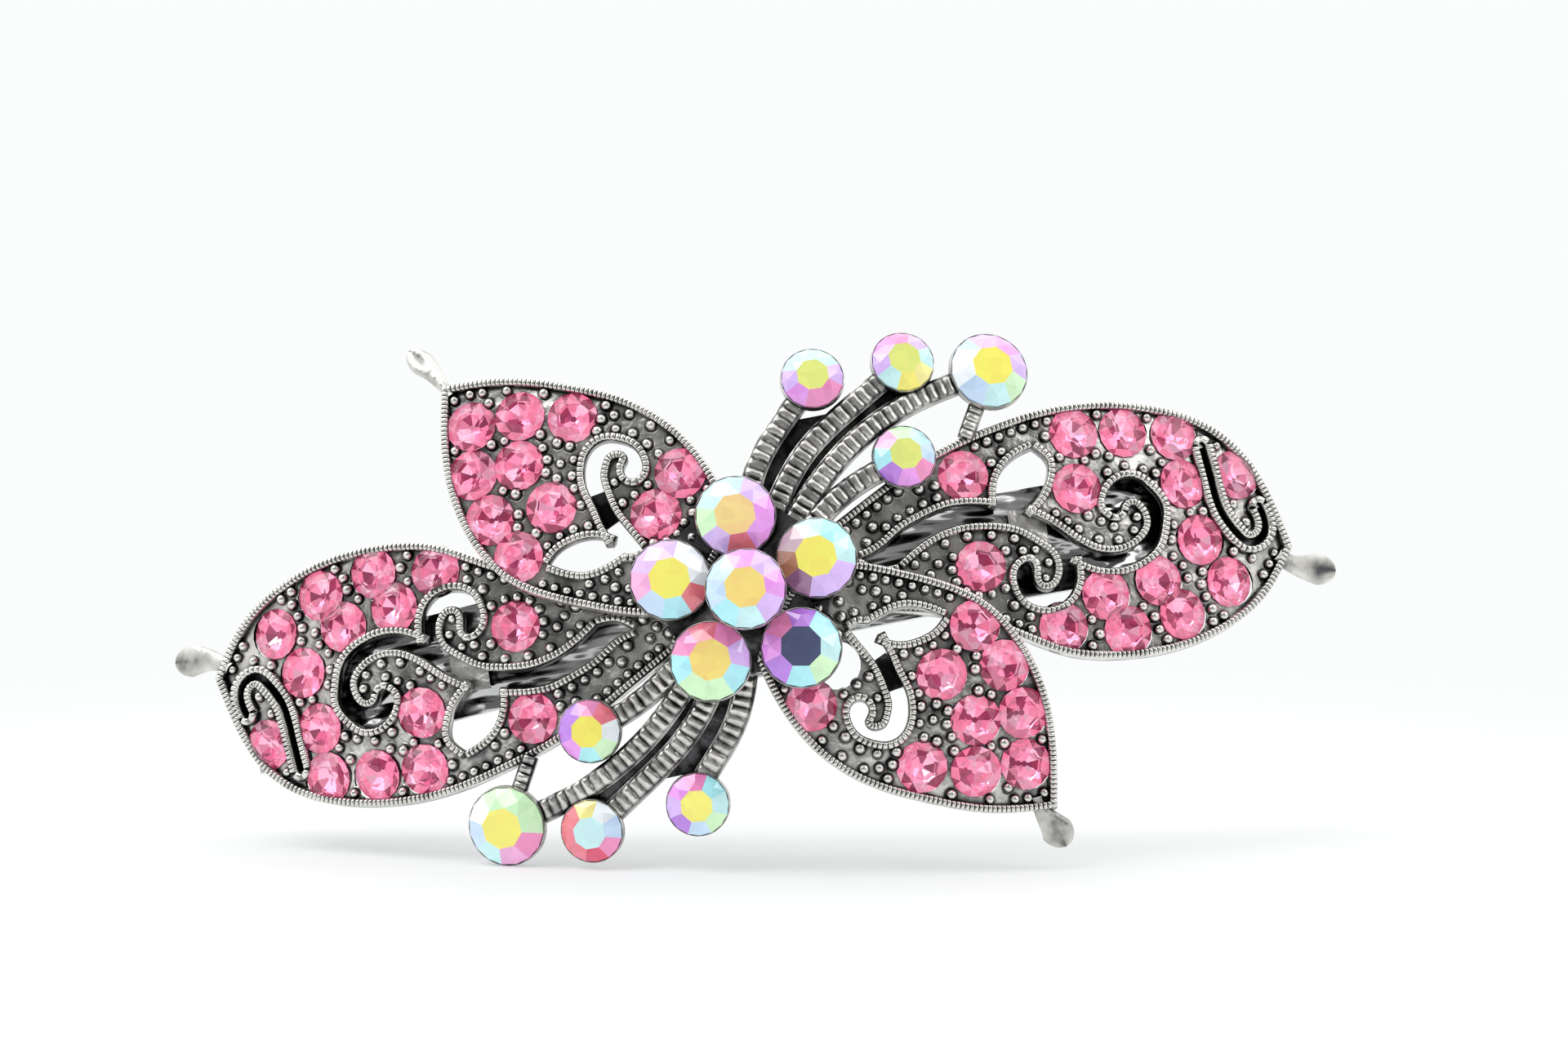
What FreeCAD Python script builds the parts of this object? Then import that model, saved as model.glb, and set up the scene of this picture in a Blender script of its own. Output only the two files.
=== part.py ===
import FreeCAD, Part
import math
import os
from FreeCAD import Placement, Rotation, Vector

# Rhinestone hair clip (French barrette), millimetres.
# The clip stands as it is worn: +X runs along the base bar, +Z is up, and the jewelled face looks along -Y.
# The origin is in the middle of the bar's hollow side, where the hair lies, on the half-turn axis of the
# ornament: turned 180 degrees about Y, the two long petals, the two short petals and the two sprays of
# stamens fall onto each other. The bar, with the whole clasp, lies a little askew under the ornament:
# it is modelled along +X and then tilted about Y, its hinge end up.

# ---- driving dimensions -------------------------------------------------------------------------
ARCH_R = 72.0            # the whole clip is bowed to this radius, so that it follows the head
BAR_LENGTH = 77.0        # base bar of the 80 mm barrette mechanism
BAR_WIDTH = 8.5
BAR_THICK = 1.0
BAR_TILT = 3.4           # of the bar and the clasp under the ornament, in degrees

SOLDER_GAP = 0.2         # between the castings and the base bar
LONG_THICK = 2.0
SHORT_THICK = 1.5
STAMEN_WIDTH = 1.8
STAMEN_THICK = 1.7
STAMEN_STEP = 1.3        # how far the stamens stand in front of the long petals
SHORT_STEP = 3.45        # how far the short petals stand in front of the long ones

# Depths on the half-turn axis. The bar's hollow side is at y 0 and each layer lies in front of the last.
BAR_FACE_Y = -BAR_THICK
LONG_FACE_Y = BAR_FACE_Y - SOLDER_GAP - LONG_THICK
SPRAY_FACE_Y = LONG_FACE_Y - STAMEN_STEP
SHORT_FACE_Y = LONG_FACE_Y - SHORT_STEP
RING_GIRDLE_Y = LONG_FACE_Y - 5.5      # girdle of the five flower stones
CENTRE_GIRDLE_Y = RING_GIRDLE_Y - 2.6  # girdle of the raised stone in the middle
STONE_RISE = 0.1                       # of a petal stone's girdle over its petal
LONG_GIRDLE_Y = LONG_FACE_Y - STONE_RISE
SHORT_GIRDLE_Y = SHORT_FACE_Y - STONE_RISE
SPRAY_GIRDLE_Y = SPRAY_FACE_Y - 0.4
FLOWER_BACK_Y = SHORT_FACE_Y - 0.05    # back of the flower casting, just clear of the short petals

RIM_WIDTH = 0.75         # raised rims round every outline
RIM_HEIGHT = 0.7
SEAT_GAP = 0.05          # between a stone and its seat

# ---- stones: radii, and their cut as shares of the radius
PINK_R = 1.95            # pink stones (SS16)
FLOWER_R = 3.05          # flower stones and the large stone of each spray (SS29)
SMALL_R = 2.42           # small spray stones (SS20)
CROWN_SHARE = 0.34       # crown height
PAVILION_SHARE = 0.52    # pavilion depth, with the point ground off
TABLE_SHARE = 0.52
CULET_SHARE = 0.22
GIRDLE = 0.12            # height of the girdle, millimetres

# ---- cups and flower
CUP_WALL = 0.4
CUP_DROP = 0.02          # of a cup's edge behind the girdle
SMALL_CUP_DEPTH = 2.3
LARGE_CUP_DEPTH = 2.6
FLOWER_X = 0.1           # the flower is soldered on a little below the axis
FLOWER_Z = -0.55
FLOWER_RING_R = 6.0
FLOWER_BASE_R = 6.5      # plate that carries the five cups
FLOWER_BASE_THICK = 0.6
FLOWER_ROOM_R = 9.6      # flat ground for the flower on the short petals
CENTRE_HORN = 2.7        # length of the tapered cup of the middle stone
STEM_R = 1.9

# ---- barrette mechanism
HINGE_ANGLE = 30.0       # places of its parts round the arch, in degrees
CATCH_ANGLE = -29.5
RIVET_ANGLE = 18.37
LUG_ANGLE = 26.0
RIVET_Z = 0.86           # of the right rivet; the left one is its mate

PIN_R = 0.75
PIN_CLEARANCE = 0.05
PIN_HEIGHT = 3.2         # of the hinge pin over the bar's front face
PIN_HEAD_R = 1.2
PIN_HEAD_LENGTH = 0.4
EAR_LENGTH = 4.4         # hinge ears at both edges of the bar
EAR_THICK = 0.8
EAR_TOP_R = 1.7
FOOT_Y = 0.8             # ears and lugs start this deep in the bar

RIVET_SHANK_R = 0.7
RIVET_HEAD_R = 1.3
RIVET_HEAD_HEIGHT = 0.45
RIVET_REACH = 1.1        # of the shank into the casting's pad
PAD_LENGTH = 3.4         # pads of the casting, riveted to the bar
PAD_WIDTH = 3.0
PAD_BACK_Y = -0.03       # just clear of the bar
PAD_THICK = 1.4

ARM_WIDTH = 4.8
ARM_THICK = 0.9
ARM_SAGITTA = 3.7
ARM_START_X = -32.5
ARM_RIB = (1.2, 0.5, 28.0)          # width, thickness and half length of the stiffening rib
LOOP_WIDTH = 8.4
LOOP_X = (-40.6, -30.5)
WINDOW_WIDTH = 6.0
WINDOW_X = (-38.2, -31.8)
LIP_R = 0.8              # rolled edge at the arm's free end
LIP_X = -40.4
LIP_RISE = 0.35
BARREL_R = 1.6
BARREL_LENGTH = 6.4

LEAF_THICK = 0.35        # tension spring
LEAF_WIDTH = 5.4
LEAF_SAGITTA = 5.6
LEAF_ANGLE = 27.0
LEAF_DEPTH = 1.25        # of its ends behind the bar's front face
LUG_LENGTH = 1.6         # lugs over the ends of the spring
LUG_WALL = 0.6
LUG_ROOF_Y = 1.9
LUG_ROOF_THICK = 0.4
LUG_GAP = 0.15

CATCH_PLATE = (4.4, 0.42, 5.4)      # length, thickness, width of the catch's foot
CATCH_PLATE_Y = BAR_THICK + 0.06
CATCH_RIVET_R = 1.0
CATCH_HEAD_R = 1.6
CATCH_HEAD_HEIGHT = 0.4
RIVET_CLEARANCE = 0.03

TAB_THICK = 0.6          # pinch tabs
TAB_LENGTH = 3.0
TAB_HEIGHT = 4.4
TAB_Z = 2.1              # inner face of a tab
TAB_PIVOT = 1.85         # height of a tab's bending line over the bar's front face
TAB_PAD_R = 2.0
BARB_LENGTH = 2.6
BARB_Y = (4.23, 5.2)     # from the barb's catching face to its tip
BARB_Z = 3.35            # outer edge of the barb

OFFSET_POINTS = 14       # on each edge of an offset outline
SHORT_EDGE = 0.25        # edges of an offset outline shorter than this are left out

ARCH_CENTRE = Vector(0, BAR_FACE_Y + ARCH_R, 0)
FAR = 60.0               # longer than any section that it cuts

# ---- outlines of the petals, (x, z), left and upper members of each pair -----------------------------
# Each outline is a list of smooth stretches that meet at corners.
LONG_PETAL = [
    [(-42.9, 1.2), (-40.0, 5.1), (-36.1, 7.5), (-31.9, 8.6), (-27.8, 8.7), (-24.0, 8.0), (-19.5, 5.7),
     (-13.0, 3.4), (-6.0, 2.6)],
    [(-6.0, 2.6), (-5.0, 0.0), (-6.0, -3.5)],
    [(-6.0, -3.5), (-9.4, -5.5), (-15.8, -8.9), (-20.7, -10.5), (-24.8, -11.4), (-28.8, -11.6),
     (-33.4, -10.9), (-37.3, -9.3), (-40.0, -6.8), (-41.6, -3.6), (-42.9, 1.2)],
]
SHORT_PETAL = [
    [(-21.2, 19.8), (-16.5, 19.6), (-11.5, 18.2), (-7.4, 16.2), (-3.6, 12.6), (-1.6, 9.0), (0.0, 5.5)],
    [(0.0, 5.5), (-2.6, 1.6), (-5.0, -1.2)],
    [(-5.0, -1.2), (-8.9, -0.7), (-12.2, 0.4), (-15.5, 1.8), (-18.3, 3.7), (-20.6, 7.2), (-21.8, 11.8),
     (-21.7, 16.4), (-21.2, 19.8)],
]

# ---- openings in the left long petal and the upper short petal, (x, z) -------------------------------
HOOK_SLOT = [(-37.0, -7.4), (-37.4, -4.5), (-37.9, -2.0), (-38.8, -0.3), (-40.0, 0.5), (-40.9, -0.1),
             (-41.0, -1.4), (-40.6, -2.4)]
HOOK_WIDTH = 0.75
SCROLL_OPENING = [
    [(-25.0, 0.4), (-26.9, 1.3), (-28.8, 1.6), (-30.9, 1.2), (-32.4, -0.1), (-33.0, -2.2), (-32.2, -4.4),
     (-30.6, -5.3), (-29.1, -4.6), (-28.7, -3.2), (-29.3, -2.5), (-29.9, -3.0)],
    [(-29.9, -3.0), (-30.3, -3.6), (-31.3, -3.4), (-31.9, -2.1), (-31.3, -0.5), (-29.7, 0.3), (-27.6, 0.1),
     (-24.4, -2.1)],
    [(-24.4, -2.1), (-24.2, -0.8), (-25.0, 0.4)],
]
CURL_OPENING = [
    [(-25.4, 0.2), (-25.6, 2.1), (-24.6, 3.6), (-23.1, 4.2), (-21.5, 3.6), (-20.9, 2.2), (-21.3, 0.8)],
    [(-21.3, 0.8), (-22.2, 0.4), (-22.7, 1.1), (-23.0, 2.3), (-23.7, 2.6), (-24.3, 1.6), (-24.2, 0.1),
     (-23.4, -1.6)],
    [(-23.4, -1.6), (-24.6, -1.2), (-25.4, 0.2)],
]
CHANNEL_OPENING = [
    [(-24.4, -0.4), (-23.2, -1.3), (-21.4, -2.4), (-18.4, -3.0), (-15.1, -2.5), (-11.9, -0.7)],
    [(-11.9, -0.7), (-10.4, -0.6), (-9.6, -1.6)],
    [(-9.6, -1.6), (-12.4, -3.1), (-15.0, -4.2), (-17.4, -4.5), (-20.0, -4.3)],
    [(-20.0, -4.3), (-22.5, -3.4), (-24.4, -2.1)],
    [(-24.4, -2.1), (-24.8, -1.2), (-24.4, -0.4)],
]
HEART_OPENING = [
    [(-22.4, -3.2), (-23.8, -4.8), (-24.6, -6.6), (-24.2, -8.0), (-23.4, -8.6)],
    [(-23.4, -8.6), (-21.4, -7.3), (-20.3, -5.7), (-19.9, -4.2)],
    [(-19.9, -4.2), (-21.2, -3.4), (-22.4, -3.2)],
]
SPIRAL_OPENING = [
    [(-9.2, 4.4), (-10.6, 6.8), (-11.5, 9.6), (-11.1, 12.4), (-9.6, 13.7), (-7.6, 13.5), (-6.3, 12.2),
     (-6.2, 10.5), (-6.9, 9.4), (-7.7, 9.2)],
    [(-7.7, 9.2), (-7.9, 10.2), (-7.6, 11.3), (-8.6, 12.0), (-9.6, 10.8), (-9.8, 9.2), (-9.3, 7.2),
     (-8.2, 5.6)],
    [(-8.2, 5.6), (-8.4, 4.6), (-9.2, 4.4)],
]
LEAF_OPENING = [
    [(-15.2, 4.4), (-13.6, 6.0), (-11.6, 6.6), (-9.8, 5.6)],
    [(-9.8, 5.6), (-8.7, 5.2), (-8.2, 3.9)],
    [(-8.2, 3.9), (-10.0, 3.0), (-12.2, 2.9), (-14.0, 3.6), (-15.2, 4.4)],
]

# ---- stones, (x, z) of the left and upper members -----------------------------------------------------
LONG_STONES = [
    (-37.6, 3.6), (-33.5, 5.8), (-29.0, 6.7), (-24.0, 5.9), (-32.0, 3.0), (-27.7, 3.7), (-35.8, 0.1),
    (-35.1, -4.5), (-39.5, -4.9), (-35.0, -8.4), (-31.0, -9.0), (-27.1, -9.3), (-26.7, -4.9),
    (-18.3, 0.4), (-18.0, -6.9),
]
SHORT_STONES = [
    (-19.4, 16.3), (-15.5, 16.4), (-11.4, 15.5), (-19.8, 12.4), (-16.1, 12.5), (-18.9, 8.6), (-14.0, 8.7),
    (-17.1, 5.3), (-3.7, 9.7),
]
UPPER_EXTRA_STONE = (-6.0, 6.8)
UPPER_SPRAY_SMALL = [(7.5, 16.0), (14.7, 16.4), (13.7, 8.8)]
LOWER_SPRAY_SMALL = [(-6.2, -15.7), (-14.7, -16.4), (-13.7, -8.8)]
SPRAY_LARGE = (21.3, 14.9)

# stamens from the hub to their stones, (x, z), upper members
UPPER_STAMENS = [
    [(0.6, 5.0), (2.2, 9.6), (4.8, 13.0), (7.5, 16.0)],
    [(2.0, 4.0), (6.2, 10.3), (10.2, 13.4), (14.7, 16.4)],
    [(3.0, 3.0), (8.4, 9.2), (13.6, 12.6), (21.3, 14.9)],
    [(3.4, 2.0), (8.6, 6.6), (13.7, 8.8)],
]
BRIDGE = [(21.3, 14.9), (18.6, 9.8)]
HUB_R = 6.6
LONG_TAIL = [(-42.4, 1.4), (-45.7, 3.3)]
SHORT_TAIL = [(-20.9, 19.4), (-23.2, 23.0)]
TAIL_NECK_R = 0.6
TAIL_BALL_R = 0.95


# ---- small helpers ------------------------------------------------------------------------------------
def dome_depth(face_y, x, z):
    """Depth of a bowed face over the point (x, z)."""
    return face_y + ARCH_R - math.sqrt(ARCH_R ** 2 - x * x - z * z)


def on_dome(face_y, x, z):
    return Vector(x, dome_depth(face_y, x, z), z)


def outward(face_y, x, z):
    """Unit normal of a bowed face, pointing out of the front of the clip."""
    normal = on_dome(face_y, x, z) - Vector(0, face_y + ARCH_R, 0)
    return normal.normalize()


def dome_shell(front_y, back_y):
    """The bowed slab between two faces, as thick along Y as they are apart on the axis."""
    front = Part.makeSphere(ARCH_R, Vector(0, front_y + ARCH_R, 0))
    back = Part.makeSphere(ARCH_R, Vector(0, back_y + ARCH_R, 0))
    slab = front.cut(back)
    keep = Part.makeBox(2 * FAR, FAR, 2 * FAR, Vector(-FAR, front_y - 1, -FAR))
    return slab.common(keep)


def spline_through(points):
    curve = Part.BSplineCurve()
    curve.interpolate(points)
    return curve.toShape()


def smooth_edge(points):
    return spline_through([Vector(x, 0, z) for x, z in points])


def outline_face(stretches):
    """Flat face in the XZ plane inside a chain of smooth stretches."""
    return Part.Face(Part.Wire([smooth_edge(points) for points in stretches]))


def ribbon_faces(points, width):
    """Flat band of even width along a path, and the discs that round off its ends."""
    steps = 24
    curve = Part.BSplineCurve()
    curve.interpolate([Vector(x, 0, z) for x, z in points])
    first, last = curve.FirstParameter, curve.LastParameter
    left, right = [], []
    for i in range(steps + 1):
        at = first + (last - first) * i / steps
        point = curve.value(at)
        along = curve.tangent(at)[0]
        side = Vector(-along.z, 0, along.x).normalize().multiply(width / 2)
        left.append(((point + side).x, (point + side).z))
        right.append(((point - side).x, (point - side).z))
    band = outline_face([left, [left[-1], right[-1]], right[::-1], [right[0], left[0]]])
    return [band, disc_face(points[0], width / 2), disc_face(points[-1], width / 2)]


def disc_face(centre, radius):
    circle = Part.Circle(Vector(centre[0], 0, centre[1]), Vector(0, 1, 0), radius)
    return Part.Face(Part.Wire([circle.toShape()]))


def through(faces):
    """The column that flat faces sweep along Y, through the whole clip."""
    columns = []
    for face in faces:
        start = face.copy()
        start.translate(Vector(0, -FAR / 2, 0))
        columns.append(start.extrude(Vector(0, FAR, 0)))
    return joined(columns)


def joined(shapes):
    """Fuses shapes one at a time, which OpenCASCADE does more surely than all at once."""
    whole = shapes[0]
    for shape in shapes[1:]:
        whole = whole.fuse(shape)
    return whole


def without(shape, tools):
    for tool in tools:
        shape = shape.cut(tool)
    return shape


def half_turn(shape):
    """The mate of a shape in the ornament's half-turn symmetry."""
    mate = shape.copy()
    mate.rotate(Vector(0, 0, 0), Vector(0, 1, 0), 180)
    return mate


def mates(points):
    return [(-x, -z) for x, z in points]


def rim_slab(face_y):
    return dome_shell(face_y - RIM_HEIGHT, face_y + 0.2)


def chained_points(edges):
    """Points along each edge, every list turned so that it starts where the one before it ends."""
    chains = [edge.discretize(OFFSET_POINTS) for edge in edges]
    following = chains[1]
    start_gap = min(chains[0][0].distanceToPoint(end) for end in (following[0], following[-1]))
    end_gap = min(chains[0][-1].distanceToPoint(end) for end in (following[0], following[-1]))
    if start_gap < end_gap:
        chains[0].reverse()
    for before, chain in zip(chains, chains[1:]):
        if before[-1].distanceToPoint(chain[0]) > before[-1].distanceToPoint(chain[-1]):
            chain.reverse()
    return chains


def offset_face(face, distance):
    """The flat face grown (or shrunk, if distance is negative) by an even distance, as plain splines."""
    grown = face.OuterWire.makeOffset2D(distance)
    edges = [edge for edge in grown.OrderedEdges if edge.Length > SHORT_EDGE]
    chains = chained_points(edges)
    for before, chain in zip(chains, chains[1:] + chains[:1]):
        before[-1] = chain[0]
    return Part.Face(Part.Wire([spline_through(chain) for chain in chains]))


def rim(face, face_y):
    """Raised rim just inside the edge of a flat face."""
    inner = offset_face(face, -RIM_WIDTH)
    return through([face.cut(inner)]).common(rim_slab(face_y))


def rim_round(faces, face_y):
    """Raised lands over and just outside some openings, which are cut through them later."""
    outer = [offset_face(face, RIM_WIDTH) for face in faces]
    return through(outer).common(rim_slab(face_y))


def facing(shape, place, normal):
    """Moves a shape that is modelled at the origin, facing -Y, to a place where it faces along normal."""
    moved = shape.copy()
    moved.Placement = Placement(place, Rotation(Vector(0, -1, 0), normal))
    return moved


def facing_cylinder(radius, place, normal, front, depth):
    """Cylinder on a stone's axis, from front (ahead of the girdle) to depth (behind it)."""
    return Part.makeCylinder(radius, front + depth, place + normal * front, normal * -1)


# ---- stones --------------------------------------------------------------------------------------------
def facet_ring(radius, y, count, phase):
    step = 2 * math.pi / count
    return [Vector(radius * math.cos(phase + step * i), y, radius * math.sin(phase + step * i))
            for i in range(count)]


def polygon_face(points):
    return Part.Face(Part.makePolygon(points + [points[0]]))


def chaton(radius):
    """Faceted round stone facing -Y, with its girdle at y 0: octagon table, sixteen-sided girdle, culet."""
    eighth = math.pi / 4
    table = facet_ring(radius * TABLE_SHARE, -radius * CROWN_SHARE, 8, 0)
    upper = facet_ring(radius, 0, 16, eighth / 4)
    lower = facet_ring(radius, GIRDLE, 16, eighth / 4)
    culet = facet_ring(radius * CULET_SHARE, GIRDLE + radius * PAVILION_SHARE, 8, 0)
    faces = [polygon_face(table), polygon_face(culet)]
    for i in range(8):
        before, after = (2 * i - 1) % 16, 2 * i
        following, nxt = (2 * i + 1) % 16, (i + 1) % 8
        faces.append(polygon_face([table[i], upper[before], upper[after]]))
        faces.append(polygon_face([table[i], upper[after], upper[following], table[nxt]]))
        faces.append(polygon_face([culet[i], lower[before], lower[after]]))
        faces.append(polygon_face([culet[i], lower[after], lower[following], culet[nxt]]))
    for i in range(16):
        faces.append(polygon_face([upper[i], upper[(i + 1) % 16], lower[(i + 1) % 16], lower[i]]))
    solid = Part.Solid(Part.Shell(faces))
    if solid.Volume < 0:
        solid.reverse()
    return solid


STONE_SHAPES = {radius: chaton(radius) for radius in (PINK_R, SMALL_R, FLOWER_R)}


def set_stones(points, radius, girdle_y):
    """Stones standing square on the bowed face over each point."""
    stones = []
    for x, z in points:
        place = on_dome(girdle_y, x, z)
        stones.append(facing(STONE_SHAPES[radius], place, outward(girdle_y, x, z)))
    return stones


def seats(points, radius, girdle_y):
    """Blind round pockets for the stones."""
    depth = GIRDLE + radius * PAVILION_SHARE + SEAT_GAP
    return [
        facing_cylinder(radius + SEAT_GAP, on_dome(girdle_y, x, z), outward(girdle_y, x, z), 2.0, depth)
        for x, z in points
    ]


def cup(x, z, radius, girdle_y, depth):
    """Round wall behind and around a stone that stands clear of the petals."""
    place = on_dome(girdle_y, x, z)
    return facing_cylinder(radius + CUP_WALL, place, outward(girdle_y, x, z), -CUP_DROP, depth)


# ---- the castings --------------------------------------------------------------------------------------
def tail(points, face_y, thickness):
    """Stalk that runs out from a petal's tip to a ball."""
    ends = [on_dome(face_y + thickness / 2, x, z) for x, z in points]
    along = ends[1] - ends[0]
    stalk = Part.makeCone(TAIL_NECK_R, TAIL_BALL_R * 0.9, along.Length, ends[0], along)
    return stalk.fuse([Part.makeSphere(TAIL_BALL_R, ends[1]), Part.makeSphere(TAIL_NECK_R, ends[0])])


def long_openings():
    shapes = (SCROLL_OPENING, CURL_OPENING, CHANNEL_OPENING, HEART_OPENING)
    return [outline_face(stretches) for stretches in shapes]


def web_pad():
    """Low plate across the channel, where the casting is riveted to the base bar."""
    corner = Vector(-PAD_LENGTH / 2, PAD_BACK_Y - PAD_THICK, -PAD_WIDTH / 2 - RIVET_Z)
    pad = Part.makeBox(PAD_LENGTH, PAD_THICK, PAD_WIDTH, corner)
    return tilted(on_bar(pad, -RIVET_ANGLE))


def long_petal():
    face = outline_face(LONG_PETAL)
    pierced = long_openings()
    plate = through([face]).common(dome_shell(LONG_FACE_Y, LONG_FACE_Y + LONG_THICK))
    body = joined([plate, rim(face, LONG_FACE_Y), rim_round(pierced, LONG_FACE_Y)])
    openings = ribbon_faces(HOOK_SLOT, HOOK_WIDTH) + pierced
    body = without(body, [through([opening]) for opening in openings])
    return joined([body, tail(LONG_TAIL, LONG_FACE_Y, LONG_THICK), web_pad()])


def spray():
    """Four stamens with their cups, and the bridge that ties the outer cup to the petal."""
    slab = dome_shell(SPRAY_FACE_Y, SPRAY_FACE_Y + STAMEN_THICK)
    rods = [through(ribbon_faces(path, STAMEN_WIDTH)).common(slab) for path in UPPER_STAMENS + [BRIDGE]]
    cups = [cup(x, z, SMALL_R, SPRAY_GIRDLE_Y, SMALL_CUP_DEPTH) for x, z in UPPER_SPRAY_SMALL]
    cups.append(cup(SPRAY_LARGE[0], SPRAY_LARGE[1], FLOWER_R, SPRAY_GIRDLE_Y, LARGE_CUP_DEPTH))
    return joined(rods + cups)


def long_petal_casting():
    """Lower casting: both long petals, both sprays and the hub that joins them."""
    petal = long_petal()
    rays = spray()
    lower = half_turn(rays)
    hub = through([disc_face((0, 0), HUB_R)]).common(dome_shell(SPRAY_FACE_Y, LONG_FACE_Y + LONG_THICK))
    shape = joined([petal, half_turn(petal), hub, rays, lower])
    pockets = seats(LONG_STONES + mates(LONG_STONES), PINK_R, LONG_GIRDLE_Y)
    pockets += seats(UPPER_SPRAY_SMALL + LOWER_SPRAY_SMALL, SMALL_R, SPRAY_GIRDLE_Y)
    pockets += seats([SPRAY_LARGE] + mates([SPRAY_LARGE]), FLOWER_R, SPRAY_GIRDLE_Y)
    for side in (-1, 1):
        hole = rivet_hole(RIVET_SHANK_R, -RIVET_REACH - 0.1, 0.1, side * RIVET_Z)
        pockets.append(tilted(on_bar(hole, side * RIVET_ANGLE)))
    return without(shape, pockets)


def short_petal_casting():
    """Upper casting: both short petals, joined under the flower."""
    face = outline_face(SHORT_PETAL)
    pierced = [outline_face(SPIRAL_OPENING), outline_face(LEAF_OPENING)]
    slab = dome_shell(SHORT_FACE_Y, SHORT_FACE_Y + SHORT_THICK)
    plate = through([face]).common(slab)
    petal = joined([plate, rim(face, SHORT_FACE_Y), rim_round(pierced, SHORT_FACE_Y)]).cut(through(pierced))
    petal = petal.fuse(tail(SHORT_TAIL, SHORT_FACE_Y, SHORT_THICK))
    hub = through([disc_face((0, 0), HUB_R)]).common(slab)
    shape = joined([petal, half_turn(petal), hub])
    room = back_cylinder(FLOWER_ROOM_R, FLOWER_X, SHORT_FACE_Y - 3.0, FLOWER_Z, SHORT_FACE_Y + 0.05)
    stones = SHORT_STONES + mates(SHORT_STONES) + [UPPER_EXTRA_STONE]
    return without(shape, [room] + seats(stones, PINK_R, SHORT_GIRDLE_Y))


def flower_points():
    step = 2 * math.pi / 5
    return [(FLOWER_X + FLOWER_RING_R * math.sin(step * i), FLOWER_Z + FLOWER_RING_R * math.cos(step * i))
            for i in range(5)]


def back_cylinder(radius, x, front_y, z, back_y):
    return Part.makeCylinder(radius, back_y - front_y, Vector(x, front_y, z), Vector(0, 1, 0))


def flower_ring():
    """Five cups in a ring on a base plate."""
    front = FLOWER_BACK_Y - FLOWER_BASE_THICK
    shape = back_cylinder(FLOWER_BASE_R, FLOWER_X, front, FLOWER_Z, FLOWER_BACK_Y)
    cup_r = FLOWER_R + CUP_WALL
    for x, z in flower_points():
        shape = shape.fuse(back_cylinder(cup_r, x, RING_GIRDLE_Y + CUP_DROP, z, FLOWER_BACK_Y))
    seat_y = RING_GIRDLE_Y + GIRDLE + FLOWER_R * PAVILION_SHARE + SEAT_GAP
    for x, z in flower_points():
        shape = shape.cut(back_cylinder(FLOWER_R + SEAT_GAP, x, RING_GIRDLE_Y - 1.0, z, seat_y))
    return shape


def flower_casting():
    """The ring of cups, with a taller tapered cup on a stem in the middle."""
    backward = Vector(0, 1, 0)
    mouth = Vector(FLOWER_X, CENTRE_GIRDLE_Y, FLOWER_Z)
    front = mouth + backward * CUP_DROP
    horn = Part.makeCone(FLOWER_R + CUP_WALL, STEM_R, CENTRE_HORN, front, backward)
    stem = back_cylinder(STEM_R, FLOWER_X, front.y + CENTRE_HORN - 0.2, FLOWER_Z, FLOWER_BACK_Y - 0.1)
    girdle_depth = GIRDLE + SEAT_GAP
    well = Part.makeCylinder(FLOWER_R + SEAT_GAP, girdle_depth, mouth, backward)
    funnel_depth = FLOWER_R * PAVILION_SHARE + 0.26
    funnel_r = FLOWER_R * CULET_SHARE + 0.35
    funnel_top = mouth + backward * girdle_depth
    funnel = Part.makeCone(FLOWER_R + SEAT_GAP, funnel_r, funnel_depth, funnel_top, backward)
    return joined([flower_ring(), stem, horn]).cut(well).cut(funnel)


def flower_stones():
    return [facing(STONE_SHAPES[FLOWER_R], Vector(x, RING_GIRDLE_Y, z), Vector(0, -1, 0))
            for x, z in flower_points()]


# ---- the barrette mechanism ----------------------------------------------------------------------------
def on_bar(shape, angle):
    """Swings a shape modelled over the bar's middle (front face at y 0) round the arch to an angle."""
    moved = shape.copy()
    moved.translate(Vector(0, BAR_FACE_Y, 0))
    moved.rotate(ARCH_CENTRE, Vector(0, 0, 1), angle)
    return moved


def tilted(shape):
    """Tilts a shape of the mechanism about the ornament's axis, with the hinge end up."""
    moved = shape.copy()
    moved.rotate(Vector(0, 0, 0), Vector(0, 1, 0), -BAR_TILT)
    return moved


def arc_strip(radius, sagitta_y, thickness, width, start, end):
    """Strip bowed about a line along Z. Its middle surface crosses the YZ plane at sagitta_y."""
    centre = Vector(0, sagitta_y + radius, -width / 2)
    ring = Part.makeCylinder(radius + thickness / 2, width, centre, Vector(0, 0, 1))
    ring = ring.cut(Part.makeCylinder(radius - thickness / 2, width, centre, Vector(0, 0, 1)))
    wedge = Part.makePolygon([
        centre,
        centre + Vector(2 * radius * math.sin(start), -2 * radius * math.cos(start), 0),
        centre + Vector(0, -3 * radius, 0),
        centre + Vector(2 * radius * math.sin(end), -2 * radius * math.cos(end), 0),
        centre,
    ])
    return ring.common(Part.Face(wedge).extrude(Vector(0, 0, width)))


def both_sides(shape):
    return [shape, shape.mirror(Vector(0, 0, 0), Vector(0, 0, 1))]


def hinge_ear():
    """Upper ear of the hinge, modelled over the bar's middle."""
    edge = BAR_WIDTH / 2 - EAR_THICK
    leg = Part.makeBox(EAR_LENGTH, PIN_HEIGHT - FOOT_Y, EAR_THICK, Vector(-EAR_LENGTH / 2, FOOT_Y, edge))
    return leg.fuse(Part.makeCylinder(EAR_TOP_R, EAR_THICK, Vector(0, PIN_HEIGHT, edge)))


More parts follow.
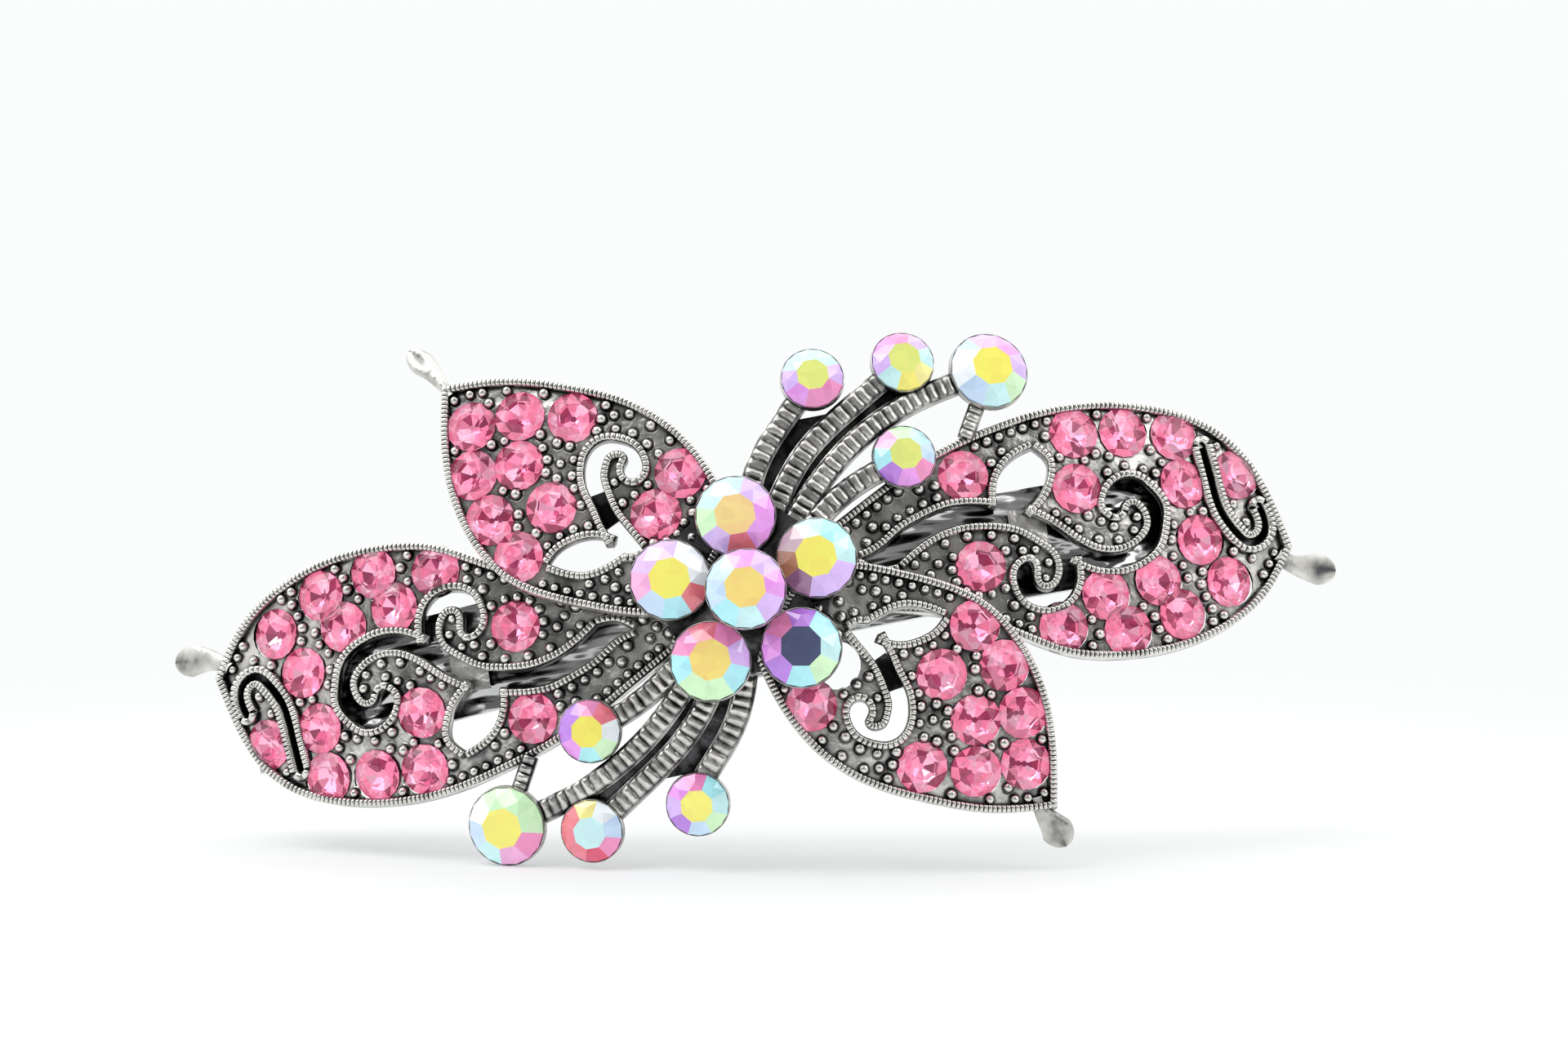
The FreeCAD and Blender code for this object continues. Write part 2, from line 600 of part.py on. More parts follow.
def spring_lug():
    """Bridge that holds one end of the tension spring, modelled over the bar's middle."""
    start_x = -LUG_LENGTH / 2
    leg_z = LEAF_WIDTH / 2 + LUG_GAP
    roof_z = leg_z + LUG_WALL
    leg_height = LUG_ROOF_Y + LUG_ROOF_THICK - FOOT_Y
    leg = Part.makeBox(LUG_LENGTH, leg_height, LUG_WALL, Vector(start_x, FOOT_Y, leg_z))
    roof = Part.makeBox(LUG_LENGTH, LUG_ROOF_THICK, 2 * roof_z, Vector(start_x, LUG_ROOF_Y, -roof_z))
    return both_sides(leg) + [roof]


def rivet_hole(radius, from_y, to_y, z):
    return Part.makeCylinder(radius + RIVET_CLEARANCE, to_y - from_y, Vector(0, from_y, z), Vector(0, 1, 0))


def base_bar():
    """Spring steel bar with hinge ears, two lugs for the tension spring and its rivet holes."""
    half = math.asin(BAR_LENGTH / 2 / ARCH_R)
    middle_y = BAR_FACE_Y + BAR_THICK / 2
    strip = arc_strip(ARCH_R - BAR_THICK / 2, middle_y, BAR_THICK, BAR_WIDTH, -half, half)
    pieces = [on_bar(side, HINGE_ANGLE) for side in both_sides(hinge_ear())]
    for angle in (-LUG_ANGLE, LUG_ANGLE):
        pieces += [on_bar(shape, angle) for shape in spring_lug()]
    pin_hole = Part.makeCylinder(PIN_R + 0.02, 2 * BAR_WIDTH, Vector(0, PIN_HEIGHT, -BAR_WIDTH))
    holes = [on_bar(pin_hole, HINGE_ANGLE), on_bar(rivet_hole(CATCH_RIVET_R, -1, 3, 0), CATCH_ANGLE)]
    for side in (-1, 1):
        holes.append(on_bar(rivet_hole(RIVET_SHANK_R, -1, 3, side * RIVET_Z), side * RIVET_ANGLE))
    return strip.fuse(pieces).cut(holes)


def rivet(shank_r, head_r, from_y, to_y, head_height, z):
    shank = Part.makeCylinder(shank_r, to_y - from_y, Vector(0, from_y, z), Vector(0, 1, 0))
    head = Part.makeCone(head_r, head_r * 0.75, head_height, Vector(0, to_y, z), Vector(0, 1, 0))
    return shank.fuse(head)


def mounting_rivets():
    """Two rivets through the bar into the pads of the lower casting."""
    rivets = []
    head_y = BAR_THICK + 0.02
    for side in (-1, 1):
        z = side * RIVET_Z
        shape = rivet(RIVET_SHANK_R, RIVET_HEAD_R, -RIVET_REACH, head_y, RIVET_HEAD_HEIGHT, z)
        rivets.append(on_bar(shape, side * RIVET_ANGLE))
    return rivets


def hinge_pin():
    length = BAR_WIDTH + 0.1
    pin = Part.makeCylinder(PIN_R, length, Vector(0, PIN_HEIGHT, -length / 2))
    head = Part.makeCone(PIN_HEAD_R, PIN_R, PIN_HEAD_LENGTH, Vector(0, PIN_HEIGHT, length / 2))
    return on_bar(pin.fuse(both_sides(head)), HINGE_ANGLE)


def hinge_centre():
    return on_bar(Part.Vertex(0, PIN_HEIGHT, 0), HINGE_ANGLE).Point


def clasp_arm():
    """Arm with a barrel on the hinge pin and, at its free end, a loop that snaps over the pinch tabs."""
    hinge = hinge_centre()
    radius = (hinge.x ** 2 + ARM_SAGITTA ** 2) / (2 * ARM_SAGITTA)
    middle_y = hinge.y - ARM_SAGITTA
    rib_width, rib_thick, rib_reach = ARM_RIB

    def strip(width, thick, low_x, high_x, raise_y=0.0):
        start, end = math.asin(low_x / radius), math.asin(high_x / radius)
        return arc_strip(radius, middle_y + raise_y, thick, width, start, end)

    arm = strip(ARM_WIDTH, ARM_THICK, ARM_START_X, hinge.x - 1.0)
    rib = strip(rib_width, rib_thick, -rib_reach, rib_reach, ARM_THICK / 2 + 0.1)
    loop = strip(LOOP_WIDTH, ARM_THICK, *LOOP_X)
    window = strip(WINDOW_WIDTH, 3 * ARM_THICK, *WINDOW_X)
    lip_y = middle_y + radius - math.sqrt(radius ** 2 - LIP_X ** 2) + LIP_RISE
    lip = Part.makeCylinder(LIP_R, LOOP_WIDTH, Vector(LIP_X, lip_y, -LOOP_WIDTH / 2))
    barrel = Part.makeCylinder(BARREL_R, BARREL_LENGTH, hinge - Vector(0, 0, BARREL_LENGTH / 2))
    bore = Part.makeCylinder(PIN_R + PIN_CLEARANCE, 2 * BARREL_LENGTH, hinge - Vector(0, 0, BARREL_LENGTH))
    return arm.fuse([rib, loop, lip, barrel]).cut([window, bore])


def tension_spring():
    """Thin bowed leaf between the bar and the arm. Its ends slide under the bar's lugs."""
    end_radius = ARCH_R - LEAF_DEPTH
    end_x = end_radius * math.sin(math.radians(LEAF_ANGLE))
    end_y = ARCH_CENTRE.y - end_radius * math.cos(math.radians(LEAF_ANGLE))
    radius = (end_x ** 2 + LEAF_SAGITTA ** 2) / (2 * LEAF_SAGITTA)
    half = math.asin(end_x / radius)
    return arc_strip(radius, end_y - LEAF_SAGITTA, LEAF_THICK, LEAF_WIDTH, -half, half)


def catch_plate():
    """Foot of the catch, under its rivet."""
    length, thick, width = CATCH_PLATE
    plate = Part.makeBox(length, thick, width, Vector(-length / 2, CATCH_PLATE_Y, -width / 2))
    return on_bar(plate.cut(rivet_hole(CATCH_RIVET_R, 0, 4, 0)), CATCH_ANGLE)


def catch_rivet():
    top = BAR_THICK + 0.5
    return on_bar(rivet(CATCH_RIVET_R, CATCH_HEAD_R, 0.0, top, CATCH_HEAD_HEIGHT, 0), CATCH_ANGLE)


def pinch_tab():
    """Upper springy tab: a barb holds the arm's loop, and the pad behind it is squeezed to let go."""
    start = Vector(-TAB_LENGTH / 2, TAB_PIVOT, TAB_Z)
    half = TAB_THICK / 2
    bend = Part.makeCylinder(half, TAB_LENGTH, start + Vector(0, 0, half), Vector(1, 0, 0))
    cheek = Part.makeBox(TAB_LENGTH, TAB_HEIGHT, TAB_THICK, start)
    pad = Part.makeCylinder(TAB_PAD_R, TAB_THICK, Vector(0, TAB_PIVOT + TAB_HEIGHT, TAB_Z))
    outer_z = TAB_Z + TAB_THICK
    profile = [(BARB_Y[0], outer_z), (BARB_Y[0], BARB_Z), (BARB_Y[1], outer_z)]
    corners = [Vector(-BARB_LENGTH / 2, y, z) for y, z in profile]
    barb = polygon_face(corners).extrude(Vector(BARB_LENGTH, 0, 0))
    return on_bar(bend.fuse([cheek, pad, barb]), CATCH_ANGLE)


# ---- write one STEP file per piece ---------------------------------------------------------------------
def save(name, shapes):
    shapes = shapes if isinstance(shapes, list) else [shapes]
    solids = [solid for shape in shapes for solid in shape.Solids]
    shape = solids[0] if len(solids) == 1 else Part.makeCompound(solids)
    shape.exportStep(os.path.join("parts", name + ".step"))
    print(name, "solids", len(solids), "valid", shape.isValid(), "volume", round(shape.Volume, 2))


def save_mechanism():
    tab = pinch_tab()
    pieces = {
        "base_bar": [base_bar()],
        "clasp_arm": [clasp_arm()],
        "hinge_pin": [hinge_pin()],
        "tension_spring": [tension_spring()],
        "catch_plate": [catch_plate()],
        "catch_rivet": [catch_rivet()],
        "upper_pinch_tab": [tab],
        "lower_pinch_tab": [tab.mirror(Vector(0, 0, 0), Vector(0, 0, 1))],
        "mounting_rivets": mounting_rivets(),
    }
    for name, shapes in pieces.items():
        save(name, [tilted(shape) for shape in shapes])


def save_ornament():
    save("long_petal_casting", long_petal_casting())
    save("short_petal_casting", short_petal_casting())
    save("flower_casting", flower_casting())
    centre = facing(STONE_SHAPES[FLOWER_R], Vector(FLOWER_X, CENTRE_GIRDLE_Y, FLOWER_Z), Vector(0, -1, 0))
    save("centre_stone", centre)
    save("flower_stones", flower_stones())
    save("upper_spray_small_stones", set_stones(UPPER_SPRAY_SMALL, SMALL_R, SPRAY_GIRDLE_Y))
    save("lower_spray_small_stones", set_stones(LOWER_SPRAY_SMALL, SMALL_R, SPRAY_GIRDLE_Y))
    save("upper_spray_large_stone", set_stones([SPRAY_LARGE], FLOWER_R, SPRAY_GIRDLE_Y))
    save("lower_spray_large_stone", set_stones(mates([SPRAY_LARGE]), FLOWER_R, SPRAY_GIRDLE_Y))
    save("left_long_petal_stones", set_stones(LONG_STONES, PINK_R, LONG_GIRDLE_Y))
    save("right_long_petal_stones", set_stones(mates(LONG_STONES), PINK_R, LONG_GIRDLE_Y))
    save("upper_short_petal_stones", set_stones(SHORT_STONES + [UPPER_EXTRA_STONE], PINK_R, SHORT_GIRDLE_Y))
    save("lower_short_petal_stones", set_stones(mates(SHORT_STONES), PINK_R, SHORT_GIRDLE_Y))


def main():
    os.makedirs("parts", exist_ok=True)
    save_mechanism()
    save_ornament()


main()
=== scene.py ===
"""Looks of the rhinestone hair clip: jewelled castings on a bowed barrette, in the CAD part's frame."""

import math
import random

import bpy
import numpy as np
from mathutils import Matrix, Vector, geometry


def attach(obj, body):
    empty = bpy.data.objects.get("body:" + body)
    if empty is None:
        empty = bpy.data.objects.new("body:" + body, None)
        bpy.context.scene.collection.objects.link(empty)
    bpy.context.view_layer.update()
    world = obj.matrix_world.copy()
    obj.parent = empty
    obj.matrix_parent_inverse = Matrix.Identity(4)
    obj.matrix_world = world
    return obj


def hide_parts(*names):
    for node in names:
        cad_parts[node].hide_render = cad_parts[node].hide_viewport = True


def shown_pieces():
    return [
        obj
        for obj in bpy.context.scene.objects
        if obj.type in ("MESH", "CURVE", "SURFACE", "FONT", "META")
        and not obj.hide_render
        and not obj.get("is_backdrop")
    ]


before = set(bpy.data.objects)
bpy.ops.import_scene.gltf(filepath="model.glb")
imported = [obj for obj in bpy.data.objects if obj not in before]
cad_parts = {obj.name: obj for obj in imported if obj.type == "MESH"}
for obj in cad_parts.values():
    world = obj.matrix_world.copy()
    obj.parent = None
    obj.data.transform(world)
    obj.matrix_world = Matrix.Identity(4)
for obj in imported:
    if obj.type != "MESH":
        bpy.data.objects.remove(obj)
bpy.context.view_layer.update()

# ---- driving dimensions, millimetres, as in the CAD part ----
MM = 0.001
ARCH_R = 72.0
LONG_FACE_Y = -3.2
SPRAY_FACE_Y = -4.5
SHORT_FACE_Y = -6.65
LONG_THICK = 2.0
SHORT_THICK = 1.5
HUB_R = 6.6
HUB_CLEAR_R = 5.5         # no grains this near the middle, under the flower
PINK_R = 1.95
PINK_SWELL = 1.03         # the glass fills its seat
PINK_RISE = 0.08
PINK_LEAN = 0.03          # how unevenly the pink stones are set
CUP_WALL = 0.1
FLOWER_CUP_DEPTH = 1.9
SPRAY_CUP_DEPTH = 2.2
CENTRE_CUP_DEPTH = 2.6

# ---- details of the castings ----
RIM_WIDTH = 0.6
RIM_PITCH = 0.36          # of the milled edges
RIM_GROOVE = 0.13
RIM_OVERRUN = 0.12        # of a rim past its corner, where it is cut down to the end rise
RIM_END_RISE = 0.2
STAMEN_PITCH = 0.76
STAMEN_GROOVE = 0.36
STAMEN_UNEVENNESS = 0.35
BRIDGE_GROOVE = 0.2
BRIDGE_SHARE = 0.7        # of a stamen's width
BRIDGE_DROP = 0.4
TAIL_SEGMENTS = 24
BEAD_R = 0.37
BEAD_SPACING = 0.98
BEAD_ROW_SPACING = 1.06 * BEAD_SPACING
BEAD_OVERLAP = 0.06       # of a grain's lip with a rim or a seat
BEAD_SLACK = 0.02
BEAD_SIZES = (0.9, 1.08)
BEAD_SEGMENTS = 12
BEADS_ROUND_STONE = 14
BEAD_TRIES = 5000
OUTLINE_STEP = 0.35       # between the points of the plate's outline, and of its openings
OPENING_STEP = 0.3
GROUND_GRID = 0.8
GROUND_JITTER = 0.15
GROUND_MARGIN = 0.4
STONE_HOLE_SLACK = 0.02
STONE_HOLE_SEGMENTS = 20
SEAT_SEGMENTS = 24
CUP_SEGMENTS = 40
HUB_SEGMENTS = 48
SMOOTH_ANGLE = 50         # degrees, sharper edges of a casting stay sharp

# ---- tails; SHARE and FROM are parts of their length ----
TAIL_STEP = 0.14
TAIL_NECK_SHARE = 0.12
TAIL_SWELL_SHARE = 0.56
TAIL_SWELL_POWER = 1.3
TAIL_TIP_FROM = 0.66
TAIL_TIP_LEAST = 0.0004
TAIL_HOLLOW_FROM = 0.3
TAIL_HOLLOW_EDGE = 1.25
TAIL_HOLLOW_DEPTH = 0.45
TAIL_THICK = 0.62
TAIL_THINNING = 0.3
TAIL_THICK_POWER = 0.4
TAIL_RISE = 0.1
TAIL_TONE = 0.74
TAIL_HOLLOW_SHADE = 0.7

# ---- steps of curves that only guide or test ----
FINE_STEP = 0.1
EDGE_STEP = 0.15
COARSE_STEP = 0.5

# ---- the CAD part's nodes ----
LONG_STONES = ("left_long_petal_stones", "right_long_petal_stones")
SHORT_STONES = ("upper_short_petal_stones", "lower_short_petal_stones")
FLOWER_STONES = ("centre_stone", "flower_stones")
SPRAY_STONES = ("upper_spray_small_stones", "lower_spray_small_stones", "upper_spray_large_stone",
                "lower_spray_large_stone")
STEEL_PIECES = ("base_bar", "clasp_arm", "hinge_pin", "tension_spring", "catch_plate", "catch_rivet",
                "upper_pinch_tab", "lower_pinch_tab", "mounting_rivets")
BODY = "ornament_and_bar"

# ---- outlines, (x, z), of the left and upper members ----
# Each is a loop of smooth stretches that meet at corners.
LONG_PETAL = [
    [(-42.9, 1.2), (-40.0, 5.1), (-36.1, 7.5), (-31.9, 8.6), (-27.8, 8.7), (-24.0, 8.0), (-19.5, 5.7),
     (-13.0, 3.4), (-6.0, 2.6)],
    [(-6.0, 2.6), (-5.0, 0.0), (-6.0, -3.5)],
    [(-6.0, -3.5), (-9.4, -5.5), (-15.8, -8.9), (-20.7, -10.5), (-24.8, -11.4), (-28.8, -11.6),
     (-33.4, -10.9), (-37.3, -9.3), (-40.0, -6.8), (-41.6, -3.6), (-42.9, 1.2)],
]
# Scroll, curl, channel and heart, which run into each other round the inner leaf
LONG_OPENING = [
    [(-29.1, -2.6), (-28.6, -3.2), (-28.9, -4.3), (-29.9, -5.2), (-31.2, -5.3), (-32.4, -4.3),
     (-33.1, -3.0), (-32.9, -1.4), (-32.3, 0.1), (-30.9, 1.2), (-28.8, 1.7), (-26.9, 1.3), (-25.6, 0.5)],
    [(-25.6, 0.5), (-25.5, 2.3), (-24.8, 3.5), (-23.7, 4.1), (-22.5, 4.1), (-21.4, 3.5), (-20.9, 2.4),
     (-21.0, 1.1), (-21.5, 0.6), (-22.1, 0.5), (-22.3, 0.9), (-22.2, 1.7), (-22.5, 2.6), (-23.4, 2.8),
     (-24.3, 2.0), (-24.5, 0.6), (-24.0, -0.5), (-23.2, -1.2), (-22.0, -2.1), (-19.4, -2.9),
     (-17.4, -3.0), (-15.1, -2.5), (-13.0, -1.4), (-11.9, -0.6)],
    [(-11.9, -0.6), (-10.4, -0.6), (-9.1, -1.4)],
    [(-9.1, -1.4), (-10.6, -1.9), (-12.4, -3.1), (-14.2, -3.9), (-16.2, -4.5), (-18.3, -4.5),
     (-20.1, -4.2)],
    [(-20.1, -4.2), (-20.4, -5.9), (-21.2, -7.2), (-22.5, -8.1), (-23.6, -8.5)],
    [(-23.6, -8.5), (-24.6, -7.2), (-24.4, -5.9), (-23.8, -4.8), (-22.4, -3.5)],
    [(-22.4, -3.5), (-24.4, -2.1), (-26.2, -0.5), (-28.0, 0.4), (-29.7, 0.4), (-31.1, -0.3),
     (-31.9, -1.4), (-31.8, -2.7), (-31.0, -3.6), (-30.1, -3.4), (-29.8, -2.8)],
    [(-29.8, -2.8), (-29.4, -2.5), (-29.1, -2.6)],
]
HOOK_PATH = [(-37.0, -7.4), (-37.3, -4.5), (-37.7, -2.0), (-38.6, -0.3), (-39.6, 0.6), (-40.7, 0.2),
             (-41.1, -0.9), (-40.8, -2.2)]
HOOK_WIDTH = 0.62
SHORT_PETAL = [
    [(-21.2, 19.8), (-16.5, 19.6), (-11.5, 18.2), (-7.2, 16.3), (-3.2, 12.8), (-1.2, 9.2), (0.0, 5.5)],
    [(0.0, 5.5), (-2.6, 1.6), (-5.0, -1.2)],
    [(-5.0, -1.2), (-8.9, -0.7), (-12.2, 0.4), (-15.5, 1.8), (-18.3, 3.7), (-20.6, 7.2), (-21.8, 11.8),
     (-21.7, 16.4), (-21.2, 19.8)],
]
# A leaf that runs into a spiral round a curled tongue
SHORT_OPENING = [
    [(-14.8, 4.3), (-14.0, 5.1), (-12.9, 5.6), (-11.5, 5.8), (-10.5, 5.6), (-9.6, 5.1)],
    [(-9.6, 5.1), (-9.9, 6.0), (-10.2, 6.8)],
    [(-10.2, 6.8), (-10.6, 8.3), (-11.0, 9.5), (-11.1, 10.6), (-10.9, 11.7), (-10.3, 12.7), (-9.3, 13.2),
     (-8.1, 13.0), (-7.0, 12.3), (-6.5, 11.1), (-6.7, 10.1), (-7.4, 9.8), (-7.8, 10.0)],
    [(-7.8, 10.0), (-8.0, 10.4), (-7.9, 11.0), (-7.6, 11.5), (-7.8, 12.0), (-8.5, 12.2), (-9.1, 12.0),
     (-9.5, 11.4), (-9.8, 10.4), (-9.7, 9.3), (-9.5, 8.4), (-9.1, 7.2), (-8.6, 6.3), (-8.0, 5.3),
     (-7.4, 4.3)],
    [(-7.4, 4.3), (-8.0, 4.0), (-8.9, 4.1)],
    [(-8.9, 4.1), (-9.8, 3.7), (-11.0, 3.3), (-12.1, 3.2), (-13.3, 3.5), (-14.8, 4.3)],
]
SPIRAL_FLOOR_PATH = [(-10.2, 9.3), (-9.85, 7.9), (-9.3, 6.7)]
UPPER_STAMENS = [
    [(0.6, 5.0), (2.2, 9.6), (4.8, 13.0), (7.5, 16.0)],
    [(2.0, 4.0), (6.2, 10.3), (10.2, 13.4), (14.7, 16.4)],
    [(3.0, 3.0), (8.4, 9.2), (13.6, 12.6), (21.3, 14.9)],
    [(3.4, 2.0), (8.6, 6.6), (13.7, 8.8)],
]
WEB_REACH = [0.72, 0.85, 0.42]  # how far each web runs out between its two stamens
BRIDGE = [(21.3, 14.9), (18.6, 9.8)]
WEB_STEPS = 30
WEB_POINTS_ACROSS = 5
WEB_DROP = 0.75
WEB_SAG = 0.3
WEB_THICK = 0.5
PAD_CORNERS = [[(-23.9, -3.7), (-23.9, -0.9)], [(-21.0, -3.8), (-21.0, -1.2)]]
PAD_RISE = (-1.9, -0.7)   # of its base and its top
PAD_TONES = (0.3, 0.4, 1.5)  # of its base, its sides and its top, which is the brightest
# Tails: middle line, half width at the neck, half width at the head
LONG_TAIL = [(-41.7, 1.7), (-42.8, 2.5), (-43.9, 2.9), (-45.0, 3.1), (-46.4, 3.3)], 0.6, 1.3
UPPER_TAIL = [(-20.6, 19.0), (-21.3, 20.2), (-22.0, 21.4), (-22.8, 22.4), (-23.6, 23.5)], 0.42, 1.0
LOWER_TAIL = [(19.8, -18.8), (20.0, -19.7), (20.5, -20.7), (21.1, -21.7), (21.5, -22.9)], 0.5, 1.3

# ---- cross sections: (offset into the metal, rise over the face, tone, share of the ribs) ----
# Tone runs from 0 in a blackened recess to 1 on a worn edge.
OUTER_RIM = [(0.15, -1.9, 0.2, 0.0), (-0.02, -1.3, 0.45, 0.0), (-0.05, 0.15, 0.8, 0.0),
             (-0.03, 0.42, 0.95, 0.0), (0.05, 0.58, 1.0, 0.4), (0.14, 0.64, 1.0, 1.0), (0.42, 0.64, 1.0, 1.0),
             (0.53, 0.55, 0.9, 0.8), (0.58, 0.3, 0.4, 0.2), (0.6, -0.1, 0.0, 0.0)]
OPENING_RIM = [(0.06, -1.9, 0.05, 0.0), (-0.02, -1.3, 0.05, 0.0), (-0.04, 0.0, 0.3, 0.0),
               (-0.02, 0.34, 0.85, 0.0), (0.06, 0.5, 1.0, 0.5), (0.13, 0.56, 1.0, 1.0),
               (0.44, 0.56, 1.0, 1.0), (0.54, 0.46, 0.85, 0.8), (0.59, 0.26, 0.35, 0.2),
               (0.61, -0.1, 0.0, 0.0)]
STAMEN_SIDE = [(-0.86, -1.5, 0.05, 0.0), (-0.93, -0.5, 0.3, 0.0), (-0.9, -0.16, 0.6, 0.0),
               (-0.8, -0.1, 0.4, 0.0), (-0.72, 0.12, 0.45, 0.9), (-0.5, 0.24, 0.95, 1.0)]
STAMEN = STAMEN_SIDE + [(0.0, 0.2, 0.8, 1.0)] + [(-o, r, t, s) for o, r, t, s in STAMEN_SIDE[::-1]]
SUNK_FLOOR = [(-0.75, -1.3, 0.0, 0.0), (-0.75, -0.9, 0.0, 0.0), (0.75, -0.9, 0.0, 0.0),
              (0.75, -1.3, 0.0, 0.0)]
# Lathed shapes: (radius, rise, tone)
BEAD = [(0.62, -0.02, 0.55), (0.56, 0.03, 0.75), (0.5, 0.02, 0.4), (0.45, 0.005, 0.1), (0.4, 0.03, 0.15),
        (0.39, 0.2, 0.6), (0.32, 0.37, 0.95), (0.18, 0.48, 1.0), (0.0, 0.51, 1.0)]
LONG_HUB = [(HUB_R, -1.5, 0.1), (HUB_R, 0.0, 0.3), (HUB_R - 0.3, 0.1, 0.3), (0.0, 0.1, 0.2)]
SHORT_HUB = [(HUB_R, -1.0, 0.1), (HUB_R, 0.0, 0.2), (0.0, 0.0, 0.2)]
CENTRE_STEM = [(1.9, -2.4, 0.2), (1.9, -4.6, 0.1)]
GROUND_TONE = 0.66
BACK_TONE = 0.55
OUTER_WALL_TONE = 0.25
OPENING_WALL_TONE = 0.02
END_TONE = 0.4            # of a bar's cut ends
WEB_TONE = 0.12


# ---- curves in the plan ----
def smooth(points, step):
    """Points about `step` mm apart along the smooth curve through the given ones."""
    p = np.array(points, float)
    chord = np.concatenate([[0.0], np.cumsum(np.linalg.norm(np.diff(p, axis=0), axis=1))])
    n = len(p)
    h = np.diff(chord)
    system = np.eye(n)
    bend = np.zeros((n, 2))
    for i in range(1, n - 1):
        system[i, i - 1:i + 2] = h[i - 1], 2 * (h[i - 1] + h[i]), h[i]
        bend[i] = 6 * ((p[i + 1] - p[i]) / h[i] - (p[i] - p[i - 1]) / h[i - 1])
    m = np.linalg.solve(system, bend)
    t = np.linspace(0, chord[-1], max(2, int(round(chord[-1] / step)) + 1))
    k = np.clip(np.searchsorted(chord, t, side="right") - 1, 0, n - 2)
    a = (chord[k + 1] - t)[:, None]
    b = (t - chord[k])[:, None]
    w = h[k][:, None]
    return m[k] * a ** 3 / (6 * w) + m[k + 1] * b ** 3 / (6 * w) \
        + (p[k] / w - m[k] * w / 6) * a + (p[k + 1] / w - m[k + 1] * w / 6) * b


def even_points(points, count):
    """A given number of points along the smooth curve through some points."""
    p = smooth(points, FINE_STEP)
    return p[np.linspace(0, len(p) - 1, count).astype(int)]


def loop_points(stretches, step):
    """The closed outline through a chain of smooth stretches, without its last point."""
    return np.concatenate([smooth(points, step)[:-1] for points in stretches])


def turns_left(stretches):
    """True if the outline runs counterclockwise, seen with +X to the right and +Z up."""
    p = loop_points(stretches, COARSE_STEP)
    q = np.roll(p, -1, axis=0)
    return (p[:, 0] * q[:, 1] - q[:, 0] * p[:, 1]).sum() > 0


def metal_on_left(stretches, opening):
    """The outline's stretches, run so that the metal is on the left of the path."""
    if turns_left(stretches) != opening:
        return stretches
    return [points[::-1] for points in stretches[::-1]]


def ribbon_outline(path, width):
    """Outline of a band of even width with round ends, as one smooth stretch after another."""
    p = smooth(path, COARSE_STEP)
    side = left_normal(p) * width / 2
    along = np.stack([side[:, 1], -side[:, 0]], -1)
    left = [tuple(q) for q in p + side]
    right = [tuple(q) for q in (p - side)[::-1]]
    return [left, [left[-1], tuple(p[-1] + along[-1]), right[0]], right,
            [right[-1], tuple(p[0] - along[0]), left[0]]]


def left_normal(p):
    """Unit vectors to the left of a path, one at each of its points."""
    along = np.gradient(p, axis=0)
    along /= np.linalg.norm(along, axis=1)[:, None]
    return np.stack([-along[:, 1], along[:, 0]], -1)


def inside(points, loop):
    """Which points lie inside a closed outline."""
    x, z = points[:, 0][:, None], points[:, 1][:, None]
    x1, z1 = loop[:, 0][None], loop[:, 1][None]
    x2, z2 = np.roll(loop, -1, axis=0).T[:, None]
    climb = np.where(z2 == z1, 1e-9, z2 - z1)
    crosses = ((z1 > z) != (z2 > z)) & (x < (x2 - x1) * (z - z1) / climb + x1)
    return crosses.sum(axis=1) % 2 == 1


def in_metal(points, loops):
    """Which points lie inside the first of some closed outlines and outside the others."""
    return inside(points, loops[0]) & ~np.any([inside(points, loop) for loop in loops[1:]], axis=0)


def distance(points, others):
    """Distance from each point to the nearest of the others."""
    return np.sqrt(((points[:, None] - others[None]) ** 2).sum(-1)).min(axis=1)


def on_dome(face_y, plan, rise):
    """Points over a bowed face: out along its normal, or back along Y if the rise is negative."""
    plan = np.asarray(plan, float)
    rise = np.broadcast_to(np.asarray(rise, float), plan.shape[:-1])
    depth = np.sqrt(ARCH_R ** 2 - (plan ** 2).sum(-1))
    point = np.stack([plan[..., 0], face_y + ARCH_R - depth - np.minimum(rise, 0), plan[..., 1]], -1)
    normal = np.stack([plan[..., 0], -depth, plan[..., 1]], -1) / ARCH_R
    return point + normal * np.maximum(rise, 0)[..., None]


def dome_normal(plan):
    """Outward direction of the bowed faces over a place."""
    x, z = plan
    return np.array([x, -math.sqrt(ARCH_R ** 2 - x * x - z * z), z]) / ARCH_R


# ---- meshes under construction ----
def new_object(name, data):
    """An object in the scene that shows a mesh, a light or a camera."""
    made = bpy.data.objects.new(name, data)
    bpy.context.scene.collection.objects.link(made)
    return made


